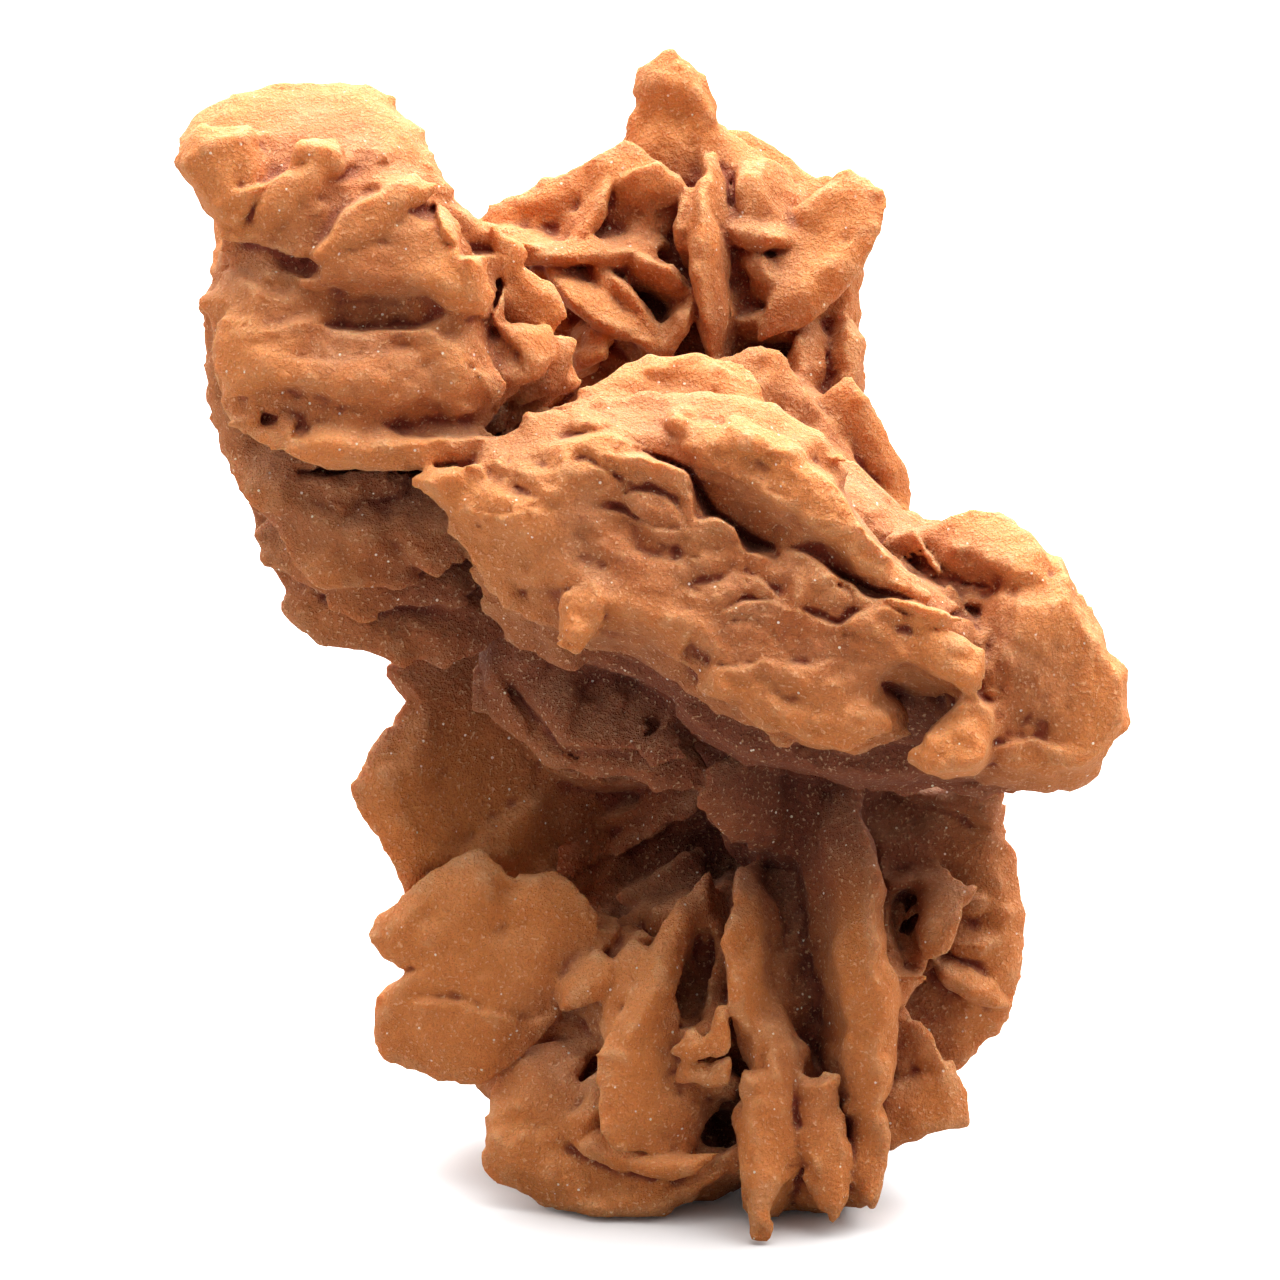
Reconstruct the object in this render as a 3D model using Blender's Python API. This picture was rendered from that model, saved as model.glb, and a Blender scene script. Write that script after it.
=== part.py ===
"""A gypsum crystal cluster of the kind called a desert rose.

Thin lens-shaped crystals have grown through each other, so the cluster is one solid. It has four masses:
a stack of leaning plates at the upper left, a thick bar that crosses the middle, a crown of blades at the
upper right and behind, and a rosette of plates and blades that it stands on.

Sizes are in millimetres here and become metres in the meshes. Crystals are placed on the cluster's broad
face: u runs to the right, v up the face, and w out of it, towards whoever looks at it. At rest the face
leans back by LEAN on the rosette's tips, which are worn flat where they carry the cluster.
"""

import math

import bmesh
import bpy
from mathutils import Matrix, Vector

MM = 0.001
LEAN = math.radians(20.0)
# Where the face's own origin lies in the finished part, which has its origin in the middle of its base.
FACE_ORIGIN = Vector((0.05, -21.944, 1.8))

BEVEL_SHARE = 0.30
BLADE_POINTS = 9
PETAL_POINTS = 8
GOLDEN_TURN = math.radians(137.5)
COLOUR = (0.56, 0.24, 0.10, 1.0)
ROUGHNESS = 0.85

# Each plate: thickness, then (w in its middle, rise of w to the right, rise of w up the face), then its
# outline on the broad face as (u, v) points.
STACK_PLATES = [
    # top plate, whose upper face leans back
    (3.6, (-5.0, 0.0, -1.3), ((-23.5, 53.4), (-23.3, 54.8), (-22.2, 55.9), (-19.5, 56.7), (-16.0, 57.4),
                              (-13.2, 57.1), (-12.0, 55.5), (-10.5, 52.8), (-11.0, 49.8), (-17.5, 48.8),
                              (-21.5, 50.3))),
    # front body
    (5.0, (-2.6, 0.0, -0.15), ((-21.3, 50.0), (-19.5, 51.8), (-16.0, 54.3), (-12.5, 53.4), (-10.2, 52.3),
                               (-9.0, 49.8), (-7.5, 47.8), (-7.5, 45.3), (-6.5, 42.8), (-7.3, 40.3),
                               (-9.0, 39.1), (-12.5, 38.7), (-17.5, 38.8), (-19.3, 39.5), (-20.8, 40.5),
                               (-21.4, 42.3), (-21.8, 44.8), (-21.9, 46.8))),
    # middle bulge of the front body
    (3.0, (-0.2, 0.0, -0.35), ((-16.0, 49.3), (-12.5, 51.8), (-10.0, 51.0), (-7.6, 47.3), (-8.0, 45.8),
                               (-11.0, 46.4), (-15.0, 46.7), (-17.5, 47.4))),
    # lower bulge of the front body
    (3.0, (-0.4, 0.0, -0.25), ((-21.7, 45.3), (-17.5, 45.4), (-12.5, 45.0), (-8.5, 44.8), (-6.8, 42.6),
                               (-8.0, 41.2), (-12.5, 41.2), (-17.5, 41.7), (-21.0, 42.2))),
    # ledge along the foot of the front body
    (1.6, (-0.1, 0.0, -0.9), ((-20.8, 40.6), (-17.5, 40.6), (-13.5, 41.2), (-8.5, 40.6), (-7.0, 39.4),
                              (-9.0, 38.8), (-12.5, 38.5), (-17.0, 38.6), (-19.0, 39.0))),
    # knuckle at the upper left
    (3.6, (-1.8, 0.2, -0.2), ((-23.7, 53.6), (-22.6, 55.4), (-19.5, 54.9), (-18.0, 52.3), (-20.2, 49.9),
                              (-22.4, 51.3))),
    # slanting rib under the top plate
    (2.2, (-0.3, 0.0, -0.3), ((-19.8, 51.0), (-17.6, 53.8), (-15.5, 54.6), (-14.4, 53.8), (-17.0, 51.4),
                              (-19.0, 49.9))),
    # second slanting rib
    (2.0, (-0.1, 0.0, -0.3), ((-17.5, 49.4), (-14.5, 52.0), (-11.5, 53.2), (-10.4, 52.2), (-13.0, 50.4),
                              (-16.5, 48.4))),
    # plate whose rim shows down the left side
    (2.0, (-5.6, 0.0, 0.0), ((-21.9, 49.5), (-22.2, 48.0), (-22.4, 46.3), (-21.9, 43.8), (-21.4, 40.3),
                             (-20.9, 37.8), (-17.5, 36.8), (-14.0, 42.0), (-16.0, 48.8), (-18.5, 50.8))),
    # first plate below the ledge
    (1.8, (-3.6, 0.0, -0.5), ((-21.1, 39.3), (-20.5, 36.8), (-19.4, 35.8), (-17.5, 35.3), (-16.8, 34.5),
                              (-14.8, 33.9), (-12.8, 33.5), (-12.5, 34.0), (-10.5, 33.3), (-8.8, 33.8),
                              (-7.5, 35.8), (-7.5, 39.8), (-12.5, 41.8), (-20.0, 40.8))),
    # second plate below the ledge
    (1.6, (-5.0, 0.0, -0.5), ((-19.8, 34.8), (-19.0, 33.0), (-17.5, 32.3), (-16.3, 31.9), (-15.8, 31.0),
                              (-14.8, 30.6), (-13.0, 31.0), (-12.0, 31.5), (-10.5, 32.0), (-8.5, 32.6),
                              (-7.5, 34.8), (-12.5, 36.8), (-18.5, 36.8))),
    # lowest plate of the stack
    (2.0, (-6.8, 0.0, -0.4), ((-20.2, 36.3), (-19.3, 33.8), (-18.3, 32.3), (-18.1, 30.9), (-16.5, 29.5),
                              (-14.5, 28.8), (-12.5, 28.4), (-11.8, 29.0), (-9.8, 28.7), (-8.3, 29.5),
                              (-7.5, 31.8), (-8.5, 35.8), (-17.5, 38.0))),
    # rims that show past the front body on the right, from the top down
    (1.6, (-3.0, -0.2, 0.0), ((-11.0, 53.2), (-9.5, 51.6), (-7.8, 50.2), (-6.1, 48.9), (-6.4, 48.0),
                              (-8.5, 46.8), (-11.0, 47.8), (-12.5, 51.8))),
    (1.2, (-4.2, 0.3, 0.2), ((-7.5, 48.5), (-6.0, 48.1), (-4.8, 47.2), (-4.1, 46.0), (-5.0, 45.1),
                             (-7.5, 44.9), (-9.4, 46.8))),
    (1.4, (-2.2, 0.0, -0.3), ((-8.0, 45.6), (-5.0, 45.5), (-4.7, 44.5), (-5.2, 43.3), (-6.0, 42.5),
                              (-7.0, 42.0), (-9.0, 43.8))),
    (1.2, (-4.2, 0.2, -0.3), ((-5.5, 45.2), (-3.6, 44.7), (-3.5, 44.1), (-4.0, 43.2), (-4.5, 42.3),
                              (-6.5, 41.4), (-8.0, 42.8))),
    (1.4, (-5.4, 0.2, -0.2), ((-4.3, 44.5), (-3.3, 43.6), (-3.3, 42.8), (-4.5, 41.8), (-6.5, 40.6),
                              (-7.3, 39.4), (-9.0, 40.3), (-6.5, 42.5))),
    # back of the stack
    (5.0, (-9.0, 0.0, -0.5), ((-22.2, 53.0), (-19.0, 55.5), (-14.5, 56.0), (-10.5, 53.0), (-5.8, 47.3),
                              (-4.8, 42.8), (-7.5, 38.0), (-12.0, 32.5), (-16.5, 32.0), (-20.3, 37.0),
                              (-21.6, 45.3))),
]

BAR_PLATES = [
    # front face of the bar
    (6.0, (1.2, 0.0, -0.1), ((-10.9, 37.4), (-9.0, 38.3), (-7.5, 39.3), (-6.0, 41.1), (-2.5, 42.1),
                             (2.0, 42.3), (6.0, 41.4), (10.0, 39.0), (12.5, 36.5), (15.5, 31.8),
                             (16.8, 29.8), (16.4, 26.8), (14.0, 24.6), (10.5, 24.3), (7.0, 24.5),
                             (2.5, 26.8), (-0.5, 28.6), (-5.5, 30.5), (-8.0, 32.3), (-9.8, 34.8))),
    # crest behind the upper rim
    (2.2, (-1.6, 0.0, -0.4), ((-5.0, 40.9), (-3.0, 42.8), (-0.5, 44.0), (2.5, 44.1), (4.5, 43.3),
                              (5.8, 41.5), (7.5, 39.8), (2.5, 37.8), (-3.0, 38.3))),
    # hump at the right
    (3.4, (-1.4, 0.0, -0.9), ((11.8, 34.2), (13.0, 35.2), (15.5, 35.6), (17.5, 35.2), (19.4, 34.1),
                              (20.8, 32.4), (20.4, 31.0), (17.0, 31.4), (14.0, 32.4))),
    # floor of the hollow under the hump
    (4.0, (-1.6, 0.0, 0.0), ((11.5, 33.2), (14.0, 33.8), (19.5, 32.8), (20.2, 30.4), (16.5, 28.5),
                             (12.5, 31.0))),
    # block at the right end
    (7.0, (-1.6, -0.2, 0.05), ((17.0, 33.3), (20.3, 33.8), (21.3, 31.3), (22.4, 29.7), (23.5, 28.6),
                             (23.4, 27.0), (23.6, 25.8), (22.9, 24.8), (22.5, 23.2), (21.2, 22.5),
                             (17.5, 22.6), (14.5, 22.8), (14.5, 29.3))),
    # underside
    (4.0, (-3.2, 0.0, 0.35), ((-9.0, 33.8), (-7.0, 29.9), (-2.5, 28.8), (0.5, 27.0), (2.5, 24.5),
                              (6.5, 23.0), (11.5, 22.3), (17.5, 21.9), (20.0, 23.3), (16.5, 27.8),
                              (7.5, 31.8), (-2.5, 35.8))),
    # scales that run along the bar
    (2.0, (3.8, 0.0, -0.15), ((-1.5, 39.8), (2.5, 40.8), (6.5, 39.8), (10.0, 37.3), (12.5, 33.8),
                              (15.6, 31.3), (14.5, 30.6), (11.0, 32.6), (7.5, 35.6), (4.5, 37.6),
                              (0.5, 38.2))),
    (2.0, (3.9, 0.0, -0.1), ((6.3, 33.8), (9.0, 33.3), (11.5, 31.8), (14.5, 30.6), (16.5, 29.2),
                             (16.2, 27.1), (14.0, 27.6), (11.5, 29.5), (8.5, 31.0), (6.3, 32.0))),
    (1.2, (4.0, 0.0, -0.1), ((-3.2, 39.0), (-0.5, 39.4), (2.5, 37.6), (4.7, 35.3), (4.2, 33.6),
                             (1.5, 34.3), (-1.2, 36.2), (-3.4, 37.6))),
    (1.8, (3.6, 0.0, -0.1), ((-0.7, 30.7), (3.5, 31.6), (7.5, 29.8), (11.5, 27.4), (12.7, 25.3),
                             (9.5, 24.6), (5.5, 25.4), (2.0, 27.8))),
    # lumps at the lower right
    (3.5, (2.4, 0.0, -0.2), ((13.2, 24.0), (13.8, 25.4), (15.8, 26.8), (17.5, 26.4), (17.3, 24.5),
                             (16.3, 23.0), (14.5, 22.7))),
    # nub on the front face
    (2.4, (3.9, 0.0, -0.2), ((-4.1, 29.7), (-3.9, 31.2), (-2.6, 32.0), (-1.9, 31.3), (-2.6, 29.8),
                             (-3.5, 29.3))),
    # pointed lip at the left end
    (2.0, (1.7, 0.1, -0.2), ((-11.3, 37.6), (-9.8, 38.4), (-8.3, 38.0), (-7.0, 36.8), (-7.5, 34.8),
                             (-9.7, 35.9))),
    # back of the bar
    (5.5, (-6.0, 0.0, 0.0), ((-8.5, 38.5), (-3.0, 41.0), (3.5, 41.5), (10.5, 38.0), (16.5, 34.0),
                             (20.5, 29.5), (20.5, 24.0), (13.0, 23.0), (3.0, 25.5), (-6.5, 31.0))),
]

CROWN_PLATES = [
    # spike
    (1.8, (-17.0, 0.0, 0.0), ((-2.5, 51.8), (-1.3, 54.8), (-0.5, 57.0), (0.2, 58.7), (1.2, 59.3),
                              (2.3, 58.6), (3.3, 57.3), (3.7, 55.3), (6.5, 53.0), (7.0, 49.8),
                              (2.5, 46.8), (-1.5, 48.3))),
    # wall behind the lattice of blades
    (2.6, (-17.5, 0.0, 0.0), ((-7.4, 49.5), (-6.8, 44.0), (-5.6, 39.8), (4.0, 38.0), (9.4, 40.5),
                              (9.6, 47.8), (5.5, 52.0), (0.5, 53.5), (-3.5, 52.0))),
    # left wing
    (1.6, (-15.5, 0.1, 0.2), ((-9.1, 51.3), (-6.5, 52.7), (-3.0, 54.1), (-1.5, 54.8), (1.5, 52.8),
                              (0.5, 48.8), (-4.5, 47.8), (-8.0, 49.3))),
    # right back wing
    (1.6, (-18.8, 0.0, 0.2), ((2.5, 55.3), (5.3, 54.9), (7.5, 53.2), (9.3, 51.8), (10.3, 48.8),
                              (7.5, 45.8), (2.5, 47.8))),
    # right blade, its outer rim forward
    (1.3, (-14.0, 0.5, -0.5), ((5.6, 45.0), (6.2, 47.8), (7.0, 50.3), (7.6, 51.8), (9.0, 52.9),
                               (10.6, 53.3), (11.7, 52.3), (11.3, 50.3), (10.0, 48.4), (8.0, 46.2))),
    # plate under the crown, at the right
    (2.0, (-12.0, -0.1, 0.3), ((6.5, 41.0), (9.8, 43.2), (10.6, 41.9), (11.6, 40.4), (12.6, 38.6),
                               (13.3, 36.8), (13.4, 35.0), (11.0, 33.0), (6.5, 35.0))),
    # side plate under the right blade
    (2.2, (-17.0, 0.0, 0.3), ((6.0, 48.0), (10.2, 49.5), (10.7, 46.5), (10.4, 44.0), (10.2, 41.5),
                              (8.0, 39.5), (5.0, 42.5))),
]

# Each blade: thickness, the two ends of its front rim as (u, v, w), how far it reaches back, and the
# angle in degrees by which it leans to the left of the way from its first end to its second.
CROWN_BLADES = [
    (1.4, (2.4, 54.2, -12.2), (2.9, 43.8, -11.0), 8.0, 12.0),
    (1.0, (-9.0, 49.6, -12.0), (0.5, 48.9, -12.5), 6.0, 12.0),
    (1.0, (-5.4, 48.4, -11.5), (0.4, 43.8, -11.0), 6.0, 14.0),
    (1.0, (-2.6, 48.8, -12.0), (0.4, 44.4, -11.5), 6.0, -16.0),
    (1.0, (-1.8, 49.2, -12.2), (2.4, 47.2, -12.0), 5.5, -18.0),
    (1.0, (0.0, 43.6, -11.4), (2.6, 47.4, -12.0), 5.5, 12.0),
    (0.9, (-3.4, 43.0, -11.5), (-2.0, 45.4, -11.5), 6.5, 10.0),
    (1.0, (-2.0, 53.6, -13.8), (-4.8, 48.2, -12.5), 5.0, -22.0),
    (1.0, (-2.4, 52.9, -13.4), (1.6, 53.2, -13.4), 5.0, -34.0),
    (0.9, (1.6, 52.6, -13.2), (1.2, 49.0, -13.0), 4.5, 24.0),
    (1.0, (4.0, 50.6, -13.0), (7.6, 50.1, -13.8), 5.0, 12.0),
    (1.0, (4.4, 46.3, -13.4), (8.4, 46.0, -14.0), 5.0, -20.0),
    (0.9, (5.5, 50.0, -13.4), (6.4, 47.0, -13.6), 4.5, -20.0),
    (1.2, (4.4, 53.6, -14.6), (5.8, 50.4, -13.8), 5.0, 26.0),
    (1.4, (7.6, 47.0, -13.6), (7.9, 38.0, -11.0), 7.0, 8.0),
    (1.4, (9.6, 47.6, -14.0), (10.2, 39.0, -12.5), 7.0, -6.0),
    (1.2, (5.6, 45.6, -14.0), (6.0, 40.0, -11.5), 6.0, 10.0),
]

BASE_PLATES = [
    # upper left plate of the rosette
    (1.8, (-11.8, -0.4, 0.0), ((-13.2, 28.5), (-12.0, 27.2), (-12.5, 25.7), (-14.8, 23.8), (-15.2, 22.3),
                                (-14.0, 19.8), (-13.1, 18.3), (-12.5, 16.8), (-7.5, 15.5), (-1.5, 19.3),
                                (-0.5, 24.3), (-4.5, 29.0), (-8.5, 30.5))),
    # plate that hangs under the bar, in two steps
    (1.5, (-7.2, 0.1, -0.4), ((-8.8, 28.8), (-8.5, 26.8), (-6.5, 24.8), (-5.3, 23.3), (-3.5, 22.3),
                              (-0.5, 22.3), (2.0, 21.8), (3.5, 22.3), (2.5, 24.8), (-0.5, 27.8),
                              (-4.5, 30.3))),
    (1.3, (-6.0, 0.1, -0.5), ((-7.6, 29.0), (-6.8, 27.2), (-5.4, 25.6), (-4.4, 24.2), (-2.8, 23.5),
                              (0.2, 23.1), (2.0, 23.6), (0.5, 27.0), (-3.5, 29.6))),
    # lower left plate
    (1.8, (-9.5, 0.1, 0.0), ((-12.8, 17.0), (-9.0, 19.0), (-7.3, 17.5), (-5.0, 18.4), (-3.3, 17.3),
                             (-2.5, 14.8), (-4.5, 11.3), (-7.5, 8.8), (-8.5, 7.9), (-10.5, 8.0),
                             (-13.0, 8.8), (-13.8, 9.5), (-13.3, 11.8), (-12.1, 12.8), (-14.0, 14.8),
                             (-13.9, 16.0))),
    # bottom left plate
    (2.0, (-8.8, 0.1, -0.2), ((-7.5, 8.8), (-8.0, 6.3), (-8.3, 3.5), (-7.5, 2.8), (-5.5, 1.8),
                              (-2.5, 0.6), (-0.5, 0.7), (2.5, 2.0), (3.5, 4.3), (-2.5, 9.5))),
    # small tongues in the hollow
    (1.2, (-12.0, 0.1, -0.3), ((-3.6, 14.8), (-1.5, 15.6), (0.0, 16.6), (2.5, 17.3), (3.0, 14.5),
                               (-1.0, 13.5))),
    (1.2, (-13.5, 0.1, -0.3), ((-2.0, 17.0), (0.5, 18.2), (3.0, 19.8), (3.5, 17.0), (1.0, 15.5))),
    # broad blade with its left rim forward
    (1.5, (-6.8, -0.7, -0.1), ((3.4, 18.8), (1.6, 16.0), (0.0, 13.8), (-1.5, 10.8), (-2.3, 8.3),
                               (-2.4, 5.3), (-1.3, 4.3), (0.5, 4.5), (2.0, 3.3), (3.5, 6.8),
                               (3.9, 13.8))),
    # wall behind the hollow
    (2.4, (-16.8, 0.0, 0.1), ((-7.0, 16.0), (-7.4, 21.0), (-4.0, 27.5), (2.0, 29.5), (9.0, 26.0),
                              (12.5, 18.0), (11.0, 10.0), (4.0, 8.0), (-3.5, 10.0))),
    # wall behind the lower blades
    (2.4, (-13.6, 0.0, 0.2), ((-4.0, 3.6), (-4.5, 9.0), (2.0, 14.0), (11.0, 14.0), (12.8, 8.0),
                              (11.0, 4.4), (4.0, 2.8))),
    # large right disc
    (2.2, (-10.5, 0.0, 0.1), ((10.5, 22.0), (14.5, 23.3), (18.3, 22.0), (18.1, 19.8), (18.8, 18.8),
                              (18.5, 15.3), (18.3, 12.8), (17.5, 10.8), (16.0, 9.3), (15.3, 8.0),
                              (11.5, 6.8), (10.0, 14.8))),
    # flake at the disc's top
    (1.4, (-9.2, 0.0, -0.2), ((12.5, 22.8), (16.0, 22.9), (18.4, 22.4), (17.6, 20.6), (16.0, 21.3))),
    # bottom right plate
    (1.8, (-8.2, 0.0, 0.2), ((11.5, 4.4), (12.8, 4.8), (14.5, 5.2), (15.7, 5.3), (15.5, 6.8), (15.0, 8.2),
                             (11.5, 7.3), (9.5, 6.0))),
]

BASE_BLADES = [
    (1.7, (3.7, 24.8, -4.6), (2.9, 19.4, -5.2), 10.0, 40.0),
    (1.1, (-4.8, 12.2, -8.6), (-1.0, 14.9, -8.8), 4.5, 28.0),
    (1.1, (-2.6, 9.8, -8.0), (-0.2, 14.8, -8.4), 5.0, 20.0),
    (1.1, (-2.0, 9.5, -7.4), (0.4, 15.0, -7.8), 5.0, 14.0),
    (1.6, (4.1, 18.4, -5.6), (5.4, 6.6, -4.4), 9.0, 20.0),
    (1.2, (5.2, 12.0, -5.0), (7.0, 6.0, -4.8), 7.0, 16.0),
    (2.6, (11.0, 22.4, -4.8), (11.4, 4.2, -4.0), 10.0, -22.0),
    (1.0, (1.2, 8.6, -6.0), (4.2, 11.2, -6.0), 4.5, 10.0),
    (1.0, (1.6, 7.6, -6.6), (4.6, 8.2, -6.6), 4.5, -8.0),
    (1.2, (-4.4, 4.0, -7.2), (-2.0, 7.2, -7.2), 4.5, 14.0),
    (1.2, (-0.5, 2.2, -7.4), (6.2, 4.6, -7.0), 5.0, -16.0),
    (1.4, (5.1, 7.0, -4.4), (5.8, 0.5, -4.6), 6.0, 6.0),
    (1.3, (6.6, 8.0, -5.2), (7.0, 1.6, -5.6), 6.0, -4.0),
    (1.8, (7.6, 7.0, -5.4), (9.2, 1.1, -5.8), 6.0, -12.0),
    (1.4, (9.4, 5.0, -5.8), (11.0, 1.6, -6.0), 6.0, -16.0),
    (1.1, (12.8, 11.4, -6.0), (16.8, 17.6, -6.6), 7.5, 50.0),
    (1.1, (12.9, 11.0, -6.8), (15.6, 6.4, -7.4), 7.5, -36.0),
    (1.0, (14.0, 13.2, -8.2), (17.6, 11.2, -8.6), 4.0, 12.0),
    (0.9, (14.6, 14.2, -8.6), (17.6, 14.8, -8.8), 3.5, 6.0),
    (1.0, (15.4, 16.4, -8.4), (17.2, 17.0, -8.8), 3.5, -6.0),
    (2.0, (-5.0, 13.0, -16.0), (-5.8, 5.3, -19.5), 8.0, 25.0),
    (2.0, (2.6, 13.0, -16.5), (2.8, 5.3, -19.5), 8.5, -8.0),
    (2.0, (10.6, 14.0, -15.5), (11.4, 5.3, -19.0), 8.0, -25.0),
]

# Lumps of grown-together crystal inside, as centre and half sizes on (u, v, w).
CORES = [
    ((-13.5, 45.5, -7.5), (7.0, 8.5, 4.5)),
    ((-10.0, 36.0, -8.5), (7.0, 5.5, 4.0)),
    ((2.0, 33.5, -4.5), (11.5, 5.5, 4.5)),
    ((-3.5, 30.0, -8.5), (6.0, 3.6, 3.6)),
    ((4.5, 27.5, -8.0), (7.5, 4.0, 4.2)),
    ((14.0, 28.0, -3.5), (7.5, 5.0, 4.0)),
    ((2.5, 47.0, -17.5), (7.5, 6.0, 3.5)),
    ((4.5, 38.5, -12.0), (6.5, 6.5, 5.0)),
    ((7.5, 25.0, -11.5), (6.5, 8.0, 5.0)),
    ((6.5, 12.0, -13.0), (8.5, 8.0, 6.0)),
    ((-3.0, 9.0, -14.0), (6.5, 5.5, 4.5)),
]

# Rosettes that finish the back: centre, the way it faces, radius of its blades, how many, and the turn in
# degrees of its first blade.
BACK_ROSETTES = [
    ((-14.5, 45.5, -11.5), (-0.2, 0.1, -1.0), 6.6, 4, 230.0),
    ((-10.5, 36.0, -10.5), (-0.3, -0.2, -1.0), 6.0, 3, 50.0),
    ((2.5, 46.0, -19.5), (0.0, 0.2, -1.0), 8.2, 5, 115.0),
    ((4.5, 37.0, -14.5), (0.3, 0.0, -1.0), 6.4, 3, 80.0),
    ((15.0, 28.0, -6.5), (0.3, 0.0, -1.0), 5.4, 3, 35.0),
    ((1.5, 23.5, -17.0), (0.0, 0.2, -1.0), 8.6, 6, 130.0),
    ((9.0, 14.5, -17.5), (0.1, -0.1, -1.0), 7.0, 4, 15.0),
    ((-3.5, 12.5, -17.5), (-0.2, -0.1, -1.0), 7.0, 5, 155.0),
]


def to_part(u, v, w):
    """The point of the part, in metres, for a place on the leaning face in millimetres."""
    back = v * math.sin(LEAN) - w * math.cos(LEAN)
    up = v * math.cos(LEAN) + w * math.sin(LEAN)
    return (Vector((u, back, up)) + FACE_ORIGIN) * MM


def direction(u, v, w):
    return (to_part(u, v, w) - to_part(0, 0, 0)).normalized()


def add_object(name, points, faces):
    mesh = bpy.data.meshes.new(name)
    mesh.from_pydata(points, [], faces)
    mesh.update()
    made = bpy.data.objects.new(name, mesh)
    bpy.context.scene.collection.objects.link(made)
    return made


def add_crystal(name, rim, normal, thickness, bevel_share=BEVEL_SHARE):
    """A closed crystal with two flat faces that bevel down to a sharp rim, a list of points in a plane."""
    count = len(rim)
    middle = sum(rim, Vector()) / count
    offset = normal * (thickness * MM / 2)
    inner = [middle + (point - middle) * (1 - bevel_share) for point in rim]
    points = rim + [point + offset for point in inner] + [point - offset for point in inner]
    faces = [tuple(range(count, 2 * count)), tuple(reversed(range(2 * count, 3 * count)))]
    for here in range(count):
        after = (here + 1) % count
        faces.append((here, after, count + after, count + here))
        faces.append((after, here, 2 * count + here, 2 * count + after))
    return add_object(name, points, faces)


def add_plate(name, thickness, plane, outline):
    """A crystal that faces the viewer more or less, given by its outline on the broad face."""
    middle_w, rise_u, rise_v = plane
    middle_u = sum(u for u, v in outline) / len(outline)
    middle_v = sum(v for u, v in outline) / len(outline)
    area = sum(a[0] * b[1] - b[0] * a[1] for a, b in zip(outline, outline[1:] + outline[:1]))
    if area < 0:
        outline = outline[::-1]
    rim = [
        to_part(u, v, middle_w + rise_u * (u - middle_u) + rise_v * (v - middle_v)) for u, v in outline
    ]
    return add_crystal(name, rim, direction(-rise_u, -rise_v, 1.0), thickness)


def add_disc(name, middle, across, inward, half_length, half_depth, thickness, count=BLADE_POINTS):
    """A lens-shaped crystal with an elliptical, slightly wavy rim."""
    normal = across.cross(inward).normalized()
    rim = []
    for index in range(count):
        turn = 2 * math.pi * index / count
        wave = 1 + 0.05 * math.sin(3 * turn + 40 * half_length)
        along = across * (half_length * MM * wave * math.cos(turn))
        rim.append(middle + along + inward * (half_depth * MM * wave * math.sin(turn)))
    return add_crystal(name, rim, normal, thickness)


def add_blade(name, thickness, start, end, reach, lean):
    """A crystal seen on its rim, which runs from start to end and bulges a little towards the viewer."""
    across = (Vector(end) - Vector(start)).normalized()
    left = Vector((-across.y, across.x, 0.0)).normalized()
    turn = math.radians(lean)
    inward = left * math.sin(turn) - Vector((0, 0, 1)) * math.cos(turn)
    inward = (inward - across * inward.dot(across)).normalized()
    middle = (Vector(start) + Vector(end)) / 2 + inward * (reach * 0.42)
    half_length = (Vector(end) - Vector(start)).length * 0.54
    return add_disc(
        name, to_part(*middle), direction(*across), direction(*inward), half_length, reach / 2, thickness
    )


def add_rosette(name, centre, facing, radius, count, first_turn):
    """Blades that open out round a centre like petals, as on the hidden sides of the cluster."""
    out = Vector(facing).normalized()
    side = out.cross(Vector((0, 1, 0))).normalized()
    up = side.cross(out)
    blades = []
    for index in range(count):
        turn = math.radians(first_turn) + GOLDEN_TURN * index
        from_centre = side * math.cos(turn) + up * math.sin(turn)
        across = out.cross(from_centre)
        across = across * math.cos(0.5 * index) + from_centre * (0.6 * math.sin(0.5 * index))
        across = across.normalized()
        tilt = math.radians(14 + 22 * index / count)
        inward = out * math.cos(tilt) + from_centre * math.sin(tilt)
        inward = (inward - across * inward.dot(across)).normalized()
        place = Vector(centre) + from_centre * (radius * 0.62 * math.sqrt(index / count))
        size = radius * (0.86 + 0.16 * math.cos(1.9 * index))
        blades.append(
            add_disc(
                f"{name}_{index}", to_part(*place), direction(*across), direction(*inward),
                size * 0.8, size * 0.68, 1.3 + 0.3 * (index % 3), PETAL_POINTS,
            )
        )
    return blades


def add_core(name, centre, half_sizes):
    bpy.ops.mesh.primitive_ico_sphere_add(subdivisions=1, radius=1.0)
    core = bpy.context.object
    core.name = name
    scale = Matrix.Diagonal(Vector(half_sizes)).to_4x4()
    core.data.transform(Matrix.Translation(Vector(centre)) @ scale)
    for vertex in core.data.vertices:
        vertex.co = to_part(*vertex.co)
    return core


def grow_crystals():
    grown = []
    for group, plates in (("stack", STACK_PLATES), ("bar", BAR_PLATES), ("crown", CROWN_PLATES),
                          ("base", BASE_PLATES)):
        for index, (thickness, plane, outline) in enumerate(plates):
            grown.append(add_plate(f"{group}_plate_{index}", thickness, plane, outline))
    for group, blades in (("crown", CROWN_BLADES), ("base", BASE_BLADES)):
        for index, blade in enumerate(blades):
            grown.append(add_blade(f"{group}_blade_{index}", *blade))
    for index, core in enumerate(CORES):
        grown.append(add_core(f"core_{index}", *core))
    for index, rosette in enumerate(BACK_ROSETTES):
        grown += add_rosette(f"back_{index}", *rosette)
    return grown


def keep_evaluated(subject):
    """Puts in the object's mesh what its modifiers make of it, and takes the modifiers away."""
    graph = bpy.context.evaluated_depsgraph_get()
    made = bpy.data.meshes.new_from_object(subject.evaluated_get(graph))
    subject.modifiers.clear()
    subject.data = made


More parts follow.
